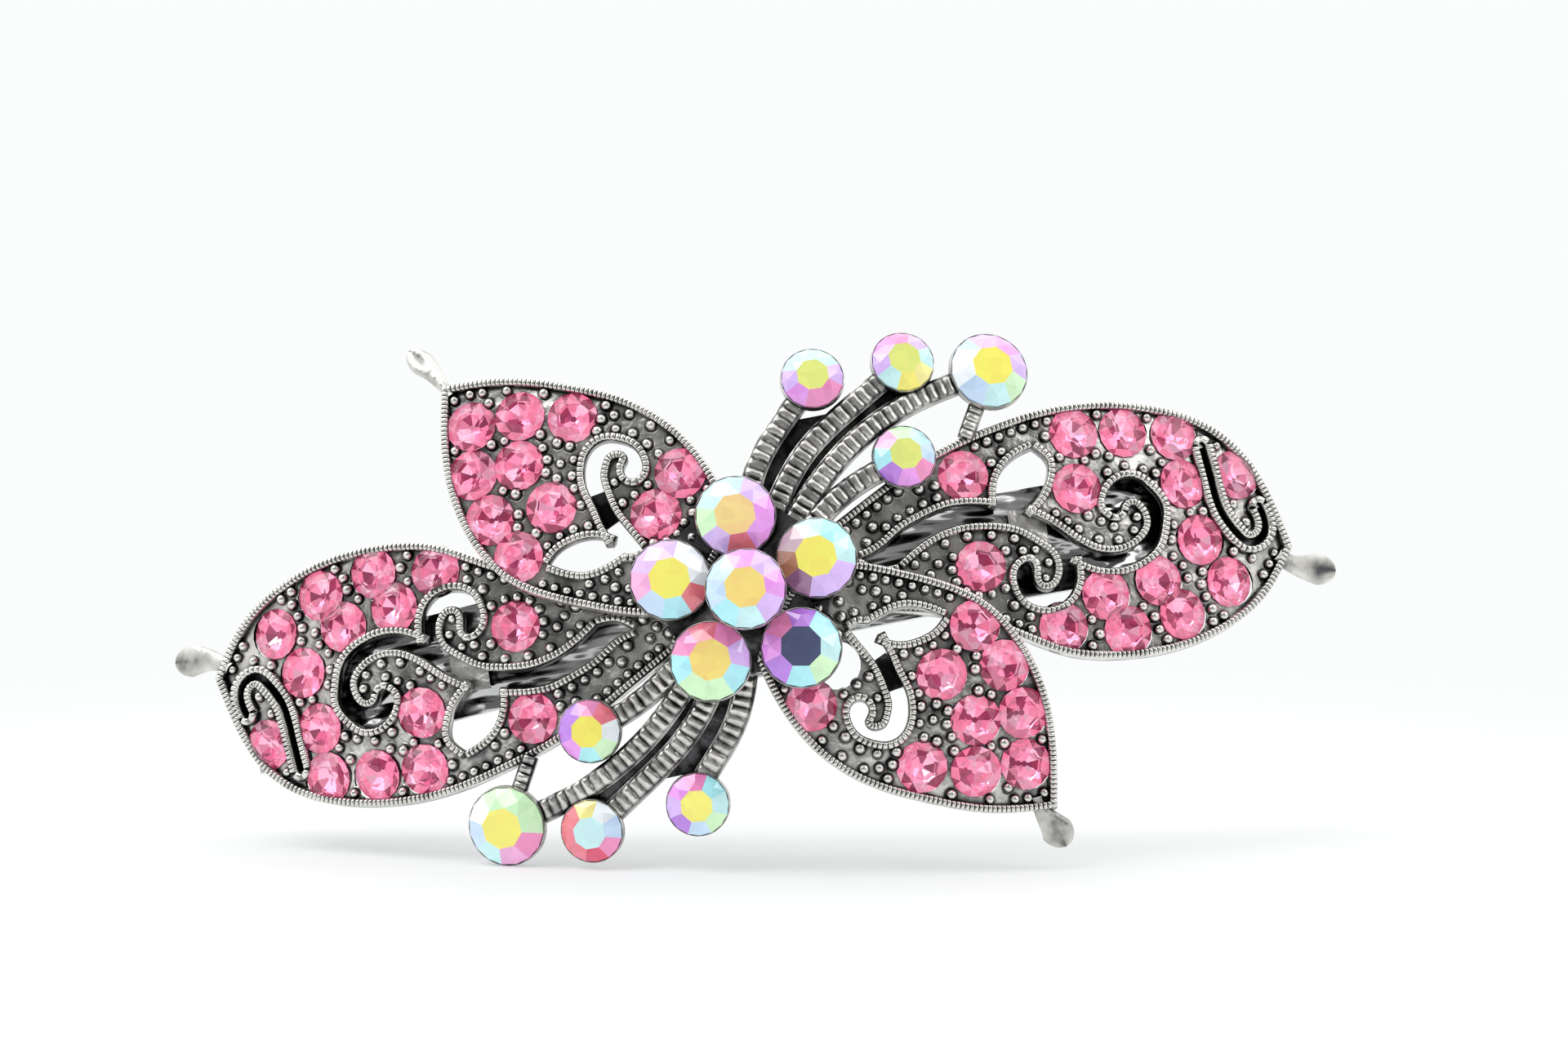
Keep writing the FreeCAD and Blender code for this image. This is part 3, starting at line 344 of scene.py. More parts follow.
class Shape:
    """A casting being built, in millimetres, with a tone on each point."""

    def __init__(self):
        self.points = []
        self.tones = []
        self.faces = []
        self.size = 0

    def add(self, points, tones, faces):
        """Adds points with one tone or a tone each, and faces that count from the first of them."""
        points = np.asarray(points, float).reshape(-1, 3)
        self.points.append(points)
        self.tones.append(np.broadcast_to(np.asarray(tones, float).reshape(-1), (len(points),)))
        self.faces.extend([[self.size + i for i in face] for face in faces])
        self.size += len(points)

    def grid(self, points, tones, rings=False, flip=False):
        """A sheet through rows of points, each row closed into a ring if asked."""
        columns = len(points[0])
        faces = []
        for i in range(len(points) - 1):
            for j in range(columns if rings else columns - 1):
                here, there, j2 = i * columns, (i + 1) * columns, (j + 1) % columns
                face = [here + j, there + j, there + j2, here + j2]
                faces.append(face[::-1] if flip else face)
        self.add(points, tones, faces)

    def add_mate(self):
        """Adds the half-turn copy of everything so far."""
        points = np.concatenate(self.points) * (-1, 1, -1)
        tones = np.concatenate(self.tones)
        faces = [list(face) for face in self.faces]
        self.add(points, tones, faces)

    def piece(self, name):
        """The finished mesh as an object of cast metal."""
        mesh = bpy.data.meshes.new(name)
        mesh.from_pydata((np.concatenate(self.points) * MM).tolist(), [], self.faces)
        layer = mesh.attributes.new("tone", "FLOAT", "POINT")
        layer.data.foreach_set("value", np.concatenate(self.tones).astype(np.float32))
        mesh.validate()
        mesh.materials.append(METAL)
        mesh.shade_smooth()
        mesh.set_sharp_from_angle(angle=math.radians(SMOOTH_ANGLE))
        return new_object(name, mesh)


RIB_SHAPE = [0.0, 0.82, 1.0, 1.0, 0.82]  # heights along one rib, from its groove on
RIB_WANDER = 2.4          # phase step from rib to rib of an uneven bar
GROOVE_SHADE = 0.6


def strip(shape, path, section, face_y, pitch, groove, overrun=0.0, unevenness=0.0):
    """A ribbed bar swept along a plan path. The section's offsets run to the left of the path."""
    chord = np.linalg.norm(np.diff(np.array(path, float), axis=0), axis=1).sum()
    ribs = max(1, round(chord / pitch))
    p = smooth(path, chord / (ribs * len(RIB_SHAPE)))
    lobe = np.array([RIB_SHAPE[i % len(RIB_SHAPE)] for i in range(len(p))])
    rib = np.arange(len(p)) // len(RIB_SHAPE)
    lobe *= 1 - unevenness * (0.5 + 0.5 * np.sin(RIB_WANDER * rib))
    if overrun:
        first = p[0] + (p[0] - p[1]) / np.linalg.norm(p[0] - p[1]) * overrun
        last = p[-1] + (p[-1] - p[-2]) / np.linalg.norm(p[-1] - p[-2]) * overrun
        p = np.concatenate([[first], p, [last]])
        lobe = np.concatenate([[1.0], lobe, [1.0]])
    lobe = lobe[:, None]
    normal = left_normal(p)
    offset, rise, tone, share = (np.array(column)[None] for column in zip(*section))
    plan = p[:, None] + normal[:, None] * offset[..., None]
    height = rise - groove * share * (1 - lobe)
    tones = tone * (1 - share * GROOVE_SHADE * (1 - lobe))
    if overrun:
        height[[0, -1]] = np.minimum(height[[0, -1]], RIM_END_RISE)
    points = on_dome(face_y, plan, np.where(rise > 0, np.maximum(height, 0.0), height))
    shape.grid(points, tones, rings=True)
    count = len(section)
    for end in (points[0], points[-1][::-1]):
        shape.add(end, END_TONE, [list(range(count))])


def rims(shape, stretches, opening, face_y, section):
    """Milled edges along an outline, one bar for each of its smooth stretches."""
    for points in metal_on_left(stretches, opening):
        strip(shape, points, section, face_y, RIM_PITCH, RIM_GROOVE, overrun=RIM_OVERRUN)


def circle(place, radius, count):
    """Points round a place in the plan."""
    angles = np.arange(count) * 2 * math.pi / count
    return np.stack([place[0] + radius * np.cos(angles), place[1] + radius * np.sin(angles)], -1)


def plate(shape, outline, openings, face_y, thick, stones, rng):
    """The bowed sheet inside an outline, with its openings, its walls and the holes for its stones."""
    loops = [loop_points(outline, OUTLINE_STEP)] + [loop_points(o, OPENING_STEP) for o in openings]
    loops += [circle(place, PINK_R + STONE_HOLE_SLACK, STONE_HOLE_SEGMENTS) for place in stones]
    low, high = loops[0].min(axis=0), loops[0].max(axis=0)
    seeds = np.array([(x + rng.uniform(-GROUND_JITTER, GROUND_JITTER),
                       z + rng.uniform(-GROUND_JITTER, GROUND_JITTER))
                      for x in np.arange(low[0], high[0], GROUND_GRID)
                      for z in np.arange(low[1], high[1], GROUND_GRID)])
    keep = in_metal(seeds, loops) & (distance(seeds, np.concatenate(loops)) > GROUND_MARGIN)
    plan = np.concatenate(loops + [seeds[keep]])
    edges, start = [], 0
    for loop in loops:
        count = len(loop)
        edges += [(start + i, start + (i + 1) % count) for i in range(count)]
        start += count
    result = geometry.delaunay_2d_cdt([Vector(p) for p in plan.tolist()], edges, [], 0, 1e-5)
    vertices = np.array([tuple(v) for v in result[0]])
    triangles = np.array(list(result[2]))
    triangles = triangles[in_metal(vertices[triangles].mean(axis=1), loops)]
    a, b, c = (vertices[triangles[:, i]] for i in range(3))
    turn = (b[:, 0] - a[:, 0]) * (c[:, 1] - a[:, 1]) - (b[:, 1] - a[:, 1]) * (c[:, 0] - a[:, 0])
    triangles[turn < 0] = triangles[turn < 0][:, ::-1]
    front = on_dome(face_y, vertices, 0.0)
    back = on_dome(face_y, vertices, -thick)
    shape.add(front, GROUND_TONE, triangles.tolist())
    shape.add(back, BACK_TONE, triangles[:, ::-1].tolist())
    for i, loop in enumerate(loops[:1 + len(openings)]):
        walls = [on_dome(face_y, loop, 0.0), on_dome(face_y, loop, -thick)]
        tone = OPENING_WALL_TONE if i else OUTER_WALL_TONE
        shape.grid(walls, tone, rings=True, flip=bool(i))


def lathe(shape, place, axis, profile, segments):
    """Turns a profile of (radius, rise, tone) about an axis."""
    turn = np.array(Vector((0, 0, 1)).rotation_difference(Vector(axis)).to_matrix())
    angles = np.arange(segments) * 2 * math.pi / segments
    rows, tones = [], []
    for radius, rise, tone in profile:
        ring = np.stack([radius * np.cos(angles), radius * np.sin(angles), np.full(segments, rise)], -1)
        rows.append(ring @ turn.T + place)
        tones += [tone] * segments
    shape.grid(rows, tones, rings=True, flip=True)


def bead_places(outline, openings, stones, stone_r, rng):
    """Seeded places for the grains: rows along the rims first, then the free ground between the stones."""
    loops = [metal_on_left(outline, False)] + [metal_on_left(o, True) for o in openings]
    clear = RIM_WIDTH + BEAD_R - BEAD_OVERLAP
    stone_clear = stone_r + BEAD_R
    rows = []
    for stretches in loops:
        for points in stretches:
            p = smooth(points, BEAD_ROW_SPACING)
            if len(p) > 2:
                rows.extend((p + left_normal(p) * (clear + BEAD_SLACK))[1:-1])
    for place in stones:
        rows.extend(circle(place, stone_clear - BEAD_SLACK, BEADS_ROUND_STONE))
    low, high = np.array(rows).min(axis=0), np.array(rows).max(axis=0)
    ground = [(rng.uniform(low[0], high[0]), rng.uniform(low[1], high[1])) for _ in range(BEAD_TRIES)]
    candidates = np.array([tuple(p) for p in rows] + ground)
    edges = [loop_points(s, EDGE_STEP) for s in loops]
    good = in_metal(candidates, edges)
    good &= distance(candidates, np.concatenate(edges)) > clear
    good &= distance(candidates, np.array(stones)) > stone_clear - BEAD_OVERLAP
    chosen = []
    for place in candidates[good]:
        if all((place[0] - x) ** 2 + (place[1] - z) ** 2 > BEAD_SPACING ** 2 for x, z in chosen):
            chosen.append(tuple(place))
    return chosen


def beads(shape, places, face_y, rng):
    """A grain with its lip at each place."""
    for place in places:
        size = rng.uniform(*BEAD_SIZES)
        profile = [(r * size, rise * size, tone) for r, rise, tone in BEAD]
        centre = on_dome(face_y, place, 0.0)
        lathe(shape, centre, dome_normal(place), profile, BEAD_SEGMENTS)


def seat(shape, place, axis, radius):
    """Low collar round a stone that is set in a petal, and the bottom under the stone."""
    profile = [(radius + 0.13, -0.4, 0.2), (radius + 0.1, -0.2, 0.5), (radius + 0.07, -0.14, 0.8),
               (radius + 0.04, -0.16, 0.1), (radius + 0.04, -0.5, 0.0), (radius * 0.85, -1.1, 0.35),
               (0.0, -1.5, 0.5)]
    lathe(shape, place, axis, profile, SEAT_SEGMENTS)


def cup(shape, place, axis, radius, depth):
    """Tapered cup of a single stone, seen as a thin edge round it."""
    profile = [(0.0, -0.9 * radius, 0.0), (radius - 0.4, -0.5, 0.0), (radius, -0.16, 0.3),
               (radius + 0.01, -0.07, 0.8), (radius + 0.06, -0.05, 0.95), (radius + CUP_WALL, -0.14, 0.7),
               (radius + CUP_WALL + 0.02, -0.6, 0.4), (radius * 0.93, -1.2, 0.3), (radius * 0.6, -depth, 0.2),
               (0.0, -depth - 0.05, 0.1)]
    lathe(shape, place, axis, profile, CUP_SEGMENTS)


def tail(shape, face_y, path, neck, head):
    """Drawn-out tip of a petal, beaten flat into a dished spoon. Neck and head are half widths."""
    plan = smooth(path, TAIL_STEP)
    normal = left_normal(plan)
    share = np.linspace(0, 1, len(plan))
    swelling = np.clip((share - TAIL_NECK_SHARE) / TAIL_SWELL_SHARE, 0, 1) ** TAIL_SWELL_POWER
    tip = np.clip((share - TAIL_TIP_FROM) / (1 - TAIL_TIP_FROM), 0, 1)
    widths = (neck + (head - neck) * swelling) * np.sqrt(np.clip(1 - tip ** 2, TAIL_TIP_LEAST, 1))
    rows, tones = [], []
    for p, n, width, s in zip(plan, normal, widths, share):
        thick = (TAIL_THICK - TAIL_THINNING * s) * (width / head) ** TAIL_THICK_POWER
        for k in range(TAIL_SEGMENTS):
            angle = 2 * math.pi * k / TAIL_SEGMENTS
            wide, high = math.cos(angle), math.sin(angle)
            hollow = 0.0
            if high > 0:
                hollow = max(0.0, s - TAIL_HOLLOW_FROM) * max(0.0, 1 - abs(wide) * TAIL_HOLLOW_EDGE)
            rise = high * thick - TAIL_HOLLOW_DEPTH * hollow * width / head + TAIL_RISE
            rows.append(on_dome(face_y, p + n * wide * width, 0.0) + dome_normal(p) * rise)
            tones.append(TAIL_TONE - TAIL_HOLLOW_SHADE * hollow)
    shape.grid(np.array(rows).reshape(len(plan), TAIL_SEGMENTS, 3), tones, rings=True)


# ---- the stones' places, read from the CAD nodes ----
GIRDLE_SHARE = 0.97       # of a stone's radius, corners beyond it belong to the girdle


def stone_places(*names):
    """(centre, outward axis, radius) in mm of each stone of some CAD nodes."""
    return [stone for name in names for stone in stones_of(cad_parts[name].data)]


def stones_of(mesh):
    """Splits a mesh into its separate stones and measures each."""
    points = np.array([tuple(v.co) for v in mesh.vertices]) / MM
    keys = {}
    merged = [keys.setdefault(tuple(np.round(p, 3)), len(keys)) for p in points]
    group = list(range(len(keys)))

    def root(i):
        """The corner that stands for a corner's stone."""
        while group[i] != i:
            group[i] = group[group[i]]
            i = group[i]
        return i

    for polygon in mesh.polygons:
        first = root(merged[polygon.vertices[0]])
        for vertex in polygon.vertices[1:]:
            group[root(merged[vertex])] = first
    corners = np.array(list(keys))
    roots = np.array([root(i) for i in range(len(corners))])
    places = []
    for r in sorted(set(roots)):
        own = corners[roots == r]
        middle = own.mean(axis=0)
        axis = np.linalg.svd(own - middle)[2][2]
        axis = axis if axis[1] < 0 else -axis
        height = (own - middle) @ axis
        spread = np.linalg.norm((own - middle) - height[:, None] * axis, axis=1)
        girdle = height[spread > spread.max() * GIRDLE_SHARE]
        places.append((middle + axis * girdle.max(), axis, spread.max()))
    return places


# ---- faceted stones ----
def stone_frame(axis, spin):
    """Two directions across a stone, turned by spin."""
    across = np.cross(axis, (0.0, 0.0, 1.0))
    across = -across / np.linalg.norm(across)
    other = np.cross(axis, across)
    c, s = math.cos(spin), math.sin(spin)
    return across * c + other * s, other * c - across * s


class Stones:
    """Cut stones as one mesh, in millimetres, every facet with its own corners and its own colour."""

    def __init__(self):
        self.points = []
        self.faces = []
        self.colours = []
        self.slots = []
        self.heart = None

    def facet(self, corners, colour, slot=0):
        """Adds a flat facet that faces away from the heart of its stone."""
        across, along = corners[1] - corners[0], corners[-1] - corners[0]
        if np.cross(across, along) @ (np.mean(corners, axis=0) - self.heart) < 0:
            corners = corners[::-1]
        start = len(self.points)
        self.points.extend(corners)
        self.faces.append(list(range(start, start + len(corners))))
        self.colours.append(colour)
        self.slots.append(slot)

    def piece(self, name, materials):
        """The finished mesh as an object."""
        mesh = bpy.data.meshes.new(name)
        mesh.from_pydata((np.array(self.points) * MM).tolist(), [], self.faces)
        layer = mesh.attributes.new("facet", "FLOAT_COLOR", "CORNER")
        corner_colours = [colour for face, colour in zip(self.faces, self.colours) for _ in face]
        layer.data.foreach_set("color", np.array(corner_colours, np.float32).reshape(-1))
        mesh.polygons.foreach_set("material_index", np.array(self.slots, np.int32))
        for coat in materials:
            mesh.materials.append(coat)
        return new_object(name, mesh)


SECTOR_SHADES = (1.0, 0.94, 1.03, 0.97, 1.0)  # painted light and shade of the small facets within one eighth of a crown
SECTORS = 8
# Proportions of a cut stone, as shares of its radius. Rises count from the girdle's front edge.
HEART_RISE = -0.15
TABLE_RISE = 0.34
SHOULDER_RISE = 0.19
SHOULDER_OUT = 0.03       # beyond the middle between table and girdle
GIRDLE_RISE = -0.06
KNEE_R = 0.55
KNEE_RISE = -0.36
CULET_R = 0.12
CULET_RISE = -0.56


def shaded(colour, shade):
    """A colour made lighter or darker."""
    return (*(channel * shade for channel in colour[:3]), 1.0)


def cut_stone(stones, place, axis, radius, spin, table_share, colours, back_slot):
    """Round cut stone: table, eight sectors of five small facets, girdle, and a pavilion in two steps."""
    across, other = stone_frame(axis, spin)
    stones.heart = place + axis * radius * HEART_RISE
    half_sector = math.pi / SECTORS

    def ring(share, rise, count, phase):
        """Corners round the stone."""
        angles = phase + np.arange(count) * 2 * math.pi / count
        return [place + across * (radius * share) * math.cos(a) + other * (radius * share) * math.sin(a)
                + axis * (radius * rise) for a in angles]

    table = ring(table_share, TABLE_RISE, SECTORS, half_sector)
    shoulder = ring(0.5 * (1 + table_share) + SHOULDER_OUT, SHOULDER_RISE, SECTORS, 0)
    upper = ring(1.0, 0.0, 2 * SECTORS, 0)
    lower = ring(1.0, GIRDLE_RISE, 2 * SECTORS, 0)
    knee = ring(KNEE_R, KNEE_RISE, SECTORS, half_sector)
    culet = ring(CULET_R, CULET_RISE, SECTORS, half_sector)
    table_colour, crown_colours, deep_colours = colours
    stones.facet(table, table_colour)
    for i in range(SECTORS):
        a, b, c = 2 * i - 1, 2 * i, 2 * i + 1
        sector = [[table[i - 1], shoulder[i], table[i]], [table[i - 1], upper[a], shoulder[i]],
                  [table[i], shoulder[i], upper[c]], [shoulder[i], upper[a], upper[b]],
                  [shoulder[i], upper[b], upper[c]]]
        for corners, shade in zip(sector, SECTOR_SHADES):
            stones.facet(corners, shaded(crown_colours[i], shade))
        for first, second in ((a, b), (b, c)):
            wall = [upper[first], lower[first], lower[second], upper[second]]
            stones.facet(wall, crown_colours[i])
        stones.facet([lower[b], knee[i - 1], knee[i]], deep_colours[i], back_slot)
        stones.facet([lower[b], lower[a], knee[i - 1]], deep_colours[i - 1], back_slot)
        stones.facet([lower[c], lower[b], knee[i]], deep_colours[i - 2], back_slot)
        stones.facet([knee[i - 1], culet[i - 1], culet[i], knee[i]], deep_colours[i - 3], back_slot)
    stones.facet(culet[::-1], deep_colours[0], back_slot)


# ---- materials ----
def build_nodes(owner, output, shader, *settings):
    """Gives a material or a world the nodes that a function builds. It returns the last shader node."""
    owner.use_nodes = True
    tree = owner.node_tree
    tree.nodes.clear()
    out = tree.nodes.new(output)
    tree.links.new(shader(tree, *settings).outputs[0], out.inputs["Surface"])
    return owner


def material(name, shader, *settings):
    """A material with the nodes that a function builds."""
    return build_nodes(bpy.data.materials.new(name), "ShaderNodeOutputMaterial", shader, *settings)


def node(tree, kind, inputs=None, **settings):
    """A shader node with its settings, and its inputs given as values or as other nodes' outputs."""
    made = tree.nodes.new(kind)
    for key, value in settings.items():
        setattr(made, key, value)
    for key, value in (inputs or {}).items():
        if isinstance(value, bpy.types.NodeSocket):
            tree.links.new(value, made.inputs[key])
        else:
            made.inputs[key].default_value = value
    return made


def scaled(tree, value, factor, shift):
    """A number times a factor plus a shift."""
    inputs = {0: value, 1: factor, 2: shift}
    return node(tree, "ShaderNodeMath", inputs, operation="MULTIPLY_ADD").outputs[0]


def noise(tree, where, scale, detail):
    """A cloudy number between 0 and 1."""
    inputs = {"Vector": where, "Scale": scale, "Detail": detail}
    return node(tree, "ShaderNodeTexNoise", inputs).outputs["Fac"]


def attribute(tree, name, output):
    """A value that the mesh carries."""
    return node(tree, "ShaderNodeAttribute", attribute_name=name).outputs[output]


def mixed(tree, share, first, second):
    """Two shaders mixed, with the second one's share."""
    return node(tree, "ShaderNodeMixShader", {0: share, 1: first.outputs[0], 2: second.outputs[0]})


def ramp(tree, factor, stops):
    """A colour that follows a number, from stop to stop."""
    made = tree.nodes.new("ShaderNodeValToRGB")
    while len(made.color_ramp.elements) < len(stops):
        made.color_ramp.elements.new(0.5)
    for element, (position, colour) in zip(made.color_ramp.elements, stops):
        element.position = position
        element.color = (*colour, 1.0)
    tree.links.new(factor, made.inputs["Fac"])
    return made.outputs["Color"]


def greys(stops):
    """Ramp stops from (position, grey) pairs."""
    return [(position, (grey,) * 3) for position, grey in stops]


def metal_shader(tree, colour, rough, bump):
    """Bare metal with an uneven surface."""
    return node(tree, "ShaderNodeBsdfPrincipled", {"Base Color": colour, "Metallic": 1.0, "Roughness": rough,
                                                   "Normal": bump.outputs["Normal"]})


def gunmetal(tree):
    """Antiqued black nickel: silvery on the worn edges, black in the recesses, with a fine cast grain."""
    where = node(tree, "ShaderNodeTexCoord").outputs["Object"]
    tone = attribute(tree, "tone", "Fac")
    grain = noise(tree, where, 900.0, 4.0)
    cloud = noise(tree, where, 500.0, 3.0)
    open_sky = node(tree, "ShaderNodeAmbientOcclusion", {"Distance": 0.0005}, samples=6).outputs["AO"]
    worn = node(tree, "ShaderNodeMath", {0: tone, 1: open_sky}, operation="MULTIPLY").outputs[0]
    patch = scaled(tree, cloud, 1.2, -0.6)
    level = node(tree, "ShaderNodeMath", {0: worn, 1: patch}, operation="ADD", use_clamp=True).outputs[0]
    colour = ramp(tree, level, [(0.0, (0.012, 0.012, 0.013)), (0.3, (0.11, 0.11, 0.115)),
                                (0.55, (0.45, 0.445, 0.42)), (0.9, (0.8, 0.785, 0.74))])
    coarse = node(tree, "ShaderNodeBump", {"Height": cloud, "Strength": 0.7, "Distance": 0.0003})
    bump = node(tree, "ShaderNodeBump", {"Height": grain, "Strength": 0.4, "Distance": 0.00008,
                                         "Normal": coarse.outputs["Normal"]})
    return metal_shader(tree, colour, scaled(tree, grain, 0.22, 0.16), bump)


def plated_steel(tree, ripple, dull, shine):
    """Gunmetal-plated spring steel, polished, with ripples this deep drawn out along the bar."""
    where = node(tree, "ShaderNodeTexCoord").outputs["Object"]
    stretched = node(tree, "ShaderNodeMapping", {"Vector": where, "Scale": (30.0, 500.0, 500.0)}).outputs[0]
    lines = noise(tree, stretched, 1.0, 1.5)
    cloud = noise(tree, where, 120.0, 3.0)
    colour = ramp(tree, cloud, greys([(0.3, dull), (0.7, shine)]))
    wave = node(tree, "ShaderNodeBump", {"Height": lines, "Strength": 0.7, "Distance": ripple})
    return metal_shader(tree, colour, scaled(tree, lines, 0.16, 0.06), wave)


def pink_glass(tree):
    """Clear pink crown of a foiled stone."""
    facet = attribute(tree, "facet", "Color")
    return node(tree, "ShaderNodeBsdfPrincipled", {"Base Color": facet, "Roughness": 0.0, "IOR": 1.56,
                                                   "Transmission Weight": 1.0})


FOIL_GLOW = 0.36          # light that the foil throws back from behind the viewer, as emission


def pink_foil(tree):
    """Mirror foil behind the pink glass, with painted reflections and painted shade that make it brighter and
    darker from facet to facet, and a painted glow.
    """
    facet = attribute(tree, "facet", "Color")
    mirror = node(tree, "ShaderNodeBsdfPrincipled", {"Base Color": facet, "Metallic": 1.0, "Roughness": 0.06})
    soft = node(tree, "ShaderNodeBsdfDiffuse", {"Color": facet})
    both = mixed(tree, 0.5, mirror, soft)
    glow = node(tree, "ShaderNodeEmission", {"Color": facet, "Strength": FOIL_GLOW})
    return node(tree, "ShaderNodeAddShader", {0: both.outputs[0], 1: glow.outputs[0]})


def aurora_glass(tree):
    """Iridescent coating with painted reflections: each facet throws its own painted colour, broken by
    painted shards that stand for the facets behind it.
    """
    where = node(tree, "ShaderNodeTexCoord").outputs["Object"]
    facet = attribute(tree, "facet", "Color")
    shards = node(tree, "ShaderNodeTexVoronoi", {"Vector": where, "Scale": 900.0, "Randomness": 1.0},
                  distance="CHEBYCHEV")
    shard = node(tree, "ShaderNodeSeparateColor", {"Color": shards.outputs["Color"]})
    hue = scaled(tree, shard.outputs[0], 0.016, 0.492)
    value = scaled(tree, shard.outputs[1], 0.08, 0.95)
    inputs = {"Color": facet, "Hue": hue, "Value": value}
    tinted = node(tree, "ShaderNodeHueSaturation", inputs).outputs[0]
    # A faint painted glow in each facet's own colour.
    return node(tree, "ShaderNodeBsdfPrincipled",
                {"Base Color": tinted, "Roughness": 0.12, "Coat Weight": 1.0, "Coat Roughness": 0.02,
                 "Coat IOR": 1.6, "Emission Color": tinted, "Emission Strength": 0.2})


METAL = material("antique_gunmetal", gunmetal)
STEEL = material("dark_steel", plated_steel, 0.0003, 0.2, 0.42)
BAR_STEEL = material("bar_steel", plated_steel, 0.0024, 0.35, 0.7)
PINK = material("pink_glass", pink_glass)
FOIL = material("pink_foil", pink_foil)
AURORA = material("aurora_glass", aurora_glass)


# ---- castings ----
def petal(shape, outline, openings, face_y, thick, node_name, rng):
    """A petal's sheet with its milled edges and its grains."""
    stones = [(place[0], place[2]) for place, _, _ in stone_places(node_name)]
    plate(shape, outline, openings, face_y, thick, stones, rng)
    rims(shape, outline, False, face_y, OUTER_RIM)
    for opening in openings:
        rims(shape, opening, True, face_y, OPENING_RIM)
    places = bead_places(outline, openings, stones, PINK_R, rng)
    beads(shape, [p for p in places if math.hypot(*p) > HUB_CLEAR_R], face_y, rng)


def webs(shape):
    """Sunk dark sheets that join neighbouring stamens near the hub."""
    for left, right, reach in zip(UPPER_STAMENS, UPPER_STAMENS[1:], WEB_REACH):
        a, b = even_points(left, WEB_STEPS), even_points(right, WEB_STEPS)
        count = int(WEB_STEPS * reach)
        across = np.linspace(0, 1, WEB_POINTS_ACROSS)[None, :, None]
        plan = a[:count, None] * (1 - across) + b[:count, None] * across
        sag = np.sin(np.linspace(0, math.pi, WEB_POINTS_ACROSS))[None, :].repeat(count, axis=0)
        rise = -WEB_DROP - WEB_SAG * sag
        shape.grid(on_dome(SPRAY_FACE_Y, plan, rise), WEB_TONE)
        shape.grid(on_dome(SPRAY_FACE_Y, plan, rise - WEB_THICK), WEB_TONE, flip=True)


def rivet_pad(shape):
    """Flat bridge across the channel, over the rivet."""
    corners = np.array(PAD_CORNERS)
    base, top = (on_dome(LONG_FACE_Y, corners, rise) for rise in PAD_RISE)
    base_tone, side_tone, top_tone = PAD_TONES
    shape.grid(top, top_tone)
    shape.grid(base, base_tone, flip=True)
    around = [(0, 0), (1, 0), (1, 1), (0, 1)]
    shape.grid([[sheet[i][j] for i, j in around] for sheet in (top, base)], side_tone, rings=True)


def hub(shape, face_y, profile):
    """Round middle of a casting, under the flower."""
    lathe(shape, np.array([0.0, face_y, 0.0]), (0.0, -1.0, 0.0), profile, HUB_SEGMENTS)


def long_casting():
    """The two long petals, the stamens and the cups of the sprays."""
    rng = random.Random(11)
    shape = Shape()
    openings = [LONG_OPENING, ribbon_outline(HOOK_PATH, HOOK_WIDTH)]
    petal(shape, LONG_PETAL, openings, LONG_FACE_Y, LONG_THICK, "left_long_petal_stones", rng)
    tail(shape, LONG_FACE_Y, *LONG_TAIL)
    strip(shape, HOOK_PATH, SUNK_FLOOR, LONG_FACE_Y, RIM_PITCH, 0.0)
    rivet_pad(shape)
    webs(shape)
    for path in UPPER_STAMENS:
        strip(shape, path, STAMEN, SPRAY_FACE_Y, STAMEN_PITCH, STAMEN_GROOVE, unevenness=STAMEN_UNEVENNESS)
    bridge = [(o * BRIDGE_SHARE, r - BRIDGE_DROP, t, s) for o, r, t, s in STAMEN]
    strip(shape, BRIDGE, bridge, SPRAY_FACE_Y, STAMEN_PITCH, BRIDGE_GROOVE)
    shape.add_mate()
    for place, axis, radius in stone_places(*LONG_STONES):
        seat(shape, place, axis, radius)
    for place, axis, radius in stone_places(*SPRAY_STONES):
        cup(shape, place, axis, radius, SPRAY_CUP_DEPTH)
    hub(shape, SPRAY_FACE_Y, LONG_HUB)
    return shape.piece("long_petals_and_sprays")


def short_casting():
    """The two short petals, on top of the long ones."""
    rng = random.Random(5)
    shape = Shape()
    petal(shape, SHORT_PETAL, [SHORT_OPENING], SHORT_FACE_Y, SHORT_THICK, "upper_short_petal_stones", rng)
    strip(shape, SPIRAL_FLOOR_PATH, SUNK_FLOOR, SHORT_FACE_Y, RIM_PITCH, 0.0)
    shape.add_mate()
    tail(shape, SHORT_FACE_Y, *UPPER_TAIL)
    tail(shape, SHORT_FACE_Y, *LOWER_TAIL)
    for place, axis, radius in stone_places(*SHORT_STONES):
        seat(shape, place, axis, radius)
    hub(shape, SHORT_FACE_Y, SHORT_HUB)
    return shape.piece("short_petals")


def flower_cups():
    """The cups of the six stones in the middle."""
    shape = Shape()
    for place, axis, radius in stone_places("flower_stones"):
        cup(shape, place, axis, radius, FLOWER_CUP_DEPTH)
    for place, axis, radius in stone_places("centre_stone"):
        cup(shape, place, axis, radius, CENTRE_CUP_DEPTH)
        lathe(shape, place, axis, CENTRE_STEM, SEAT_SEGMENTS)
    return shape.piece("flower_cups")


# ---- stones ----
# Colours as seen on a screen
PINKS = {
    "glass": (1.0, 0.95, 0.97),
    "light": (1.0, 0.76, 0.86),
    "rose": (0.98, 0.6, 0.73),
    "deep": (0.62, 0.27, 0.4),
}
# The foil's facets in lighter and darker pinks: painted reflections and painted shade, shuffled anew for each
# stone.
FOIL_FACETS = ["light", "rose", "deep", "rose", "light", "rose", "rose", "deep"]
PINK_TABLE = 0.5          # share of the stone's radius
AURORA_TABLE = 0.54
AURORA_SPIN = 0.15        # radians either way


def linear(colour):
    """A colour as seen on a screen, turned into light."""
    return (*(channel ** 2.2 for channel in colour), 1.0)


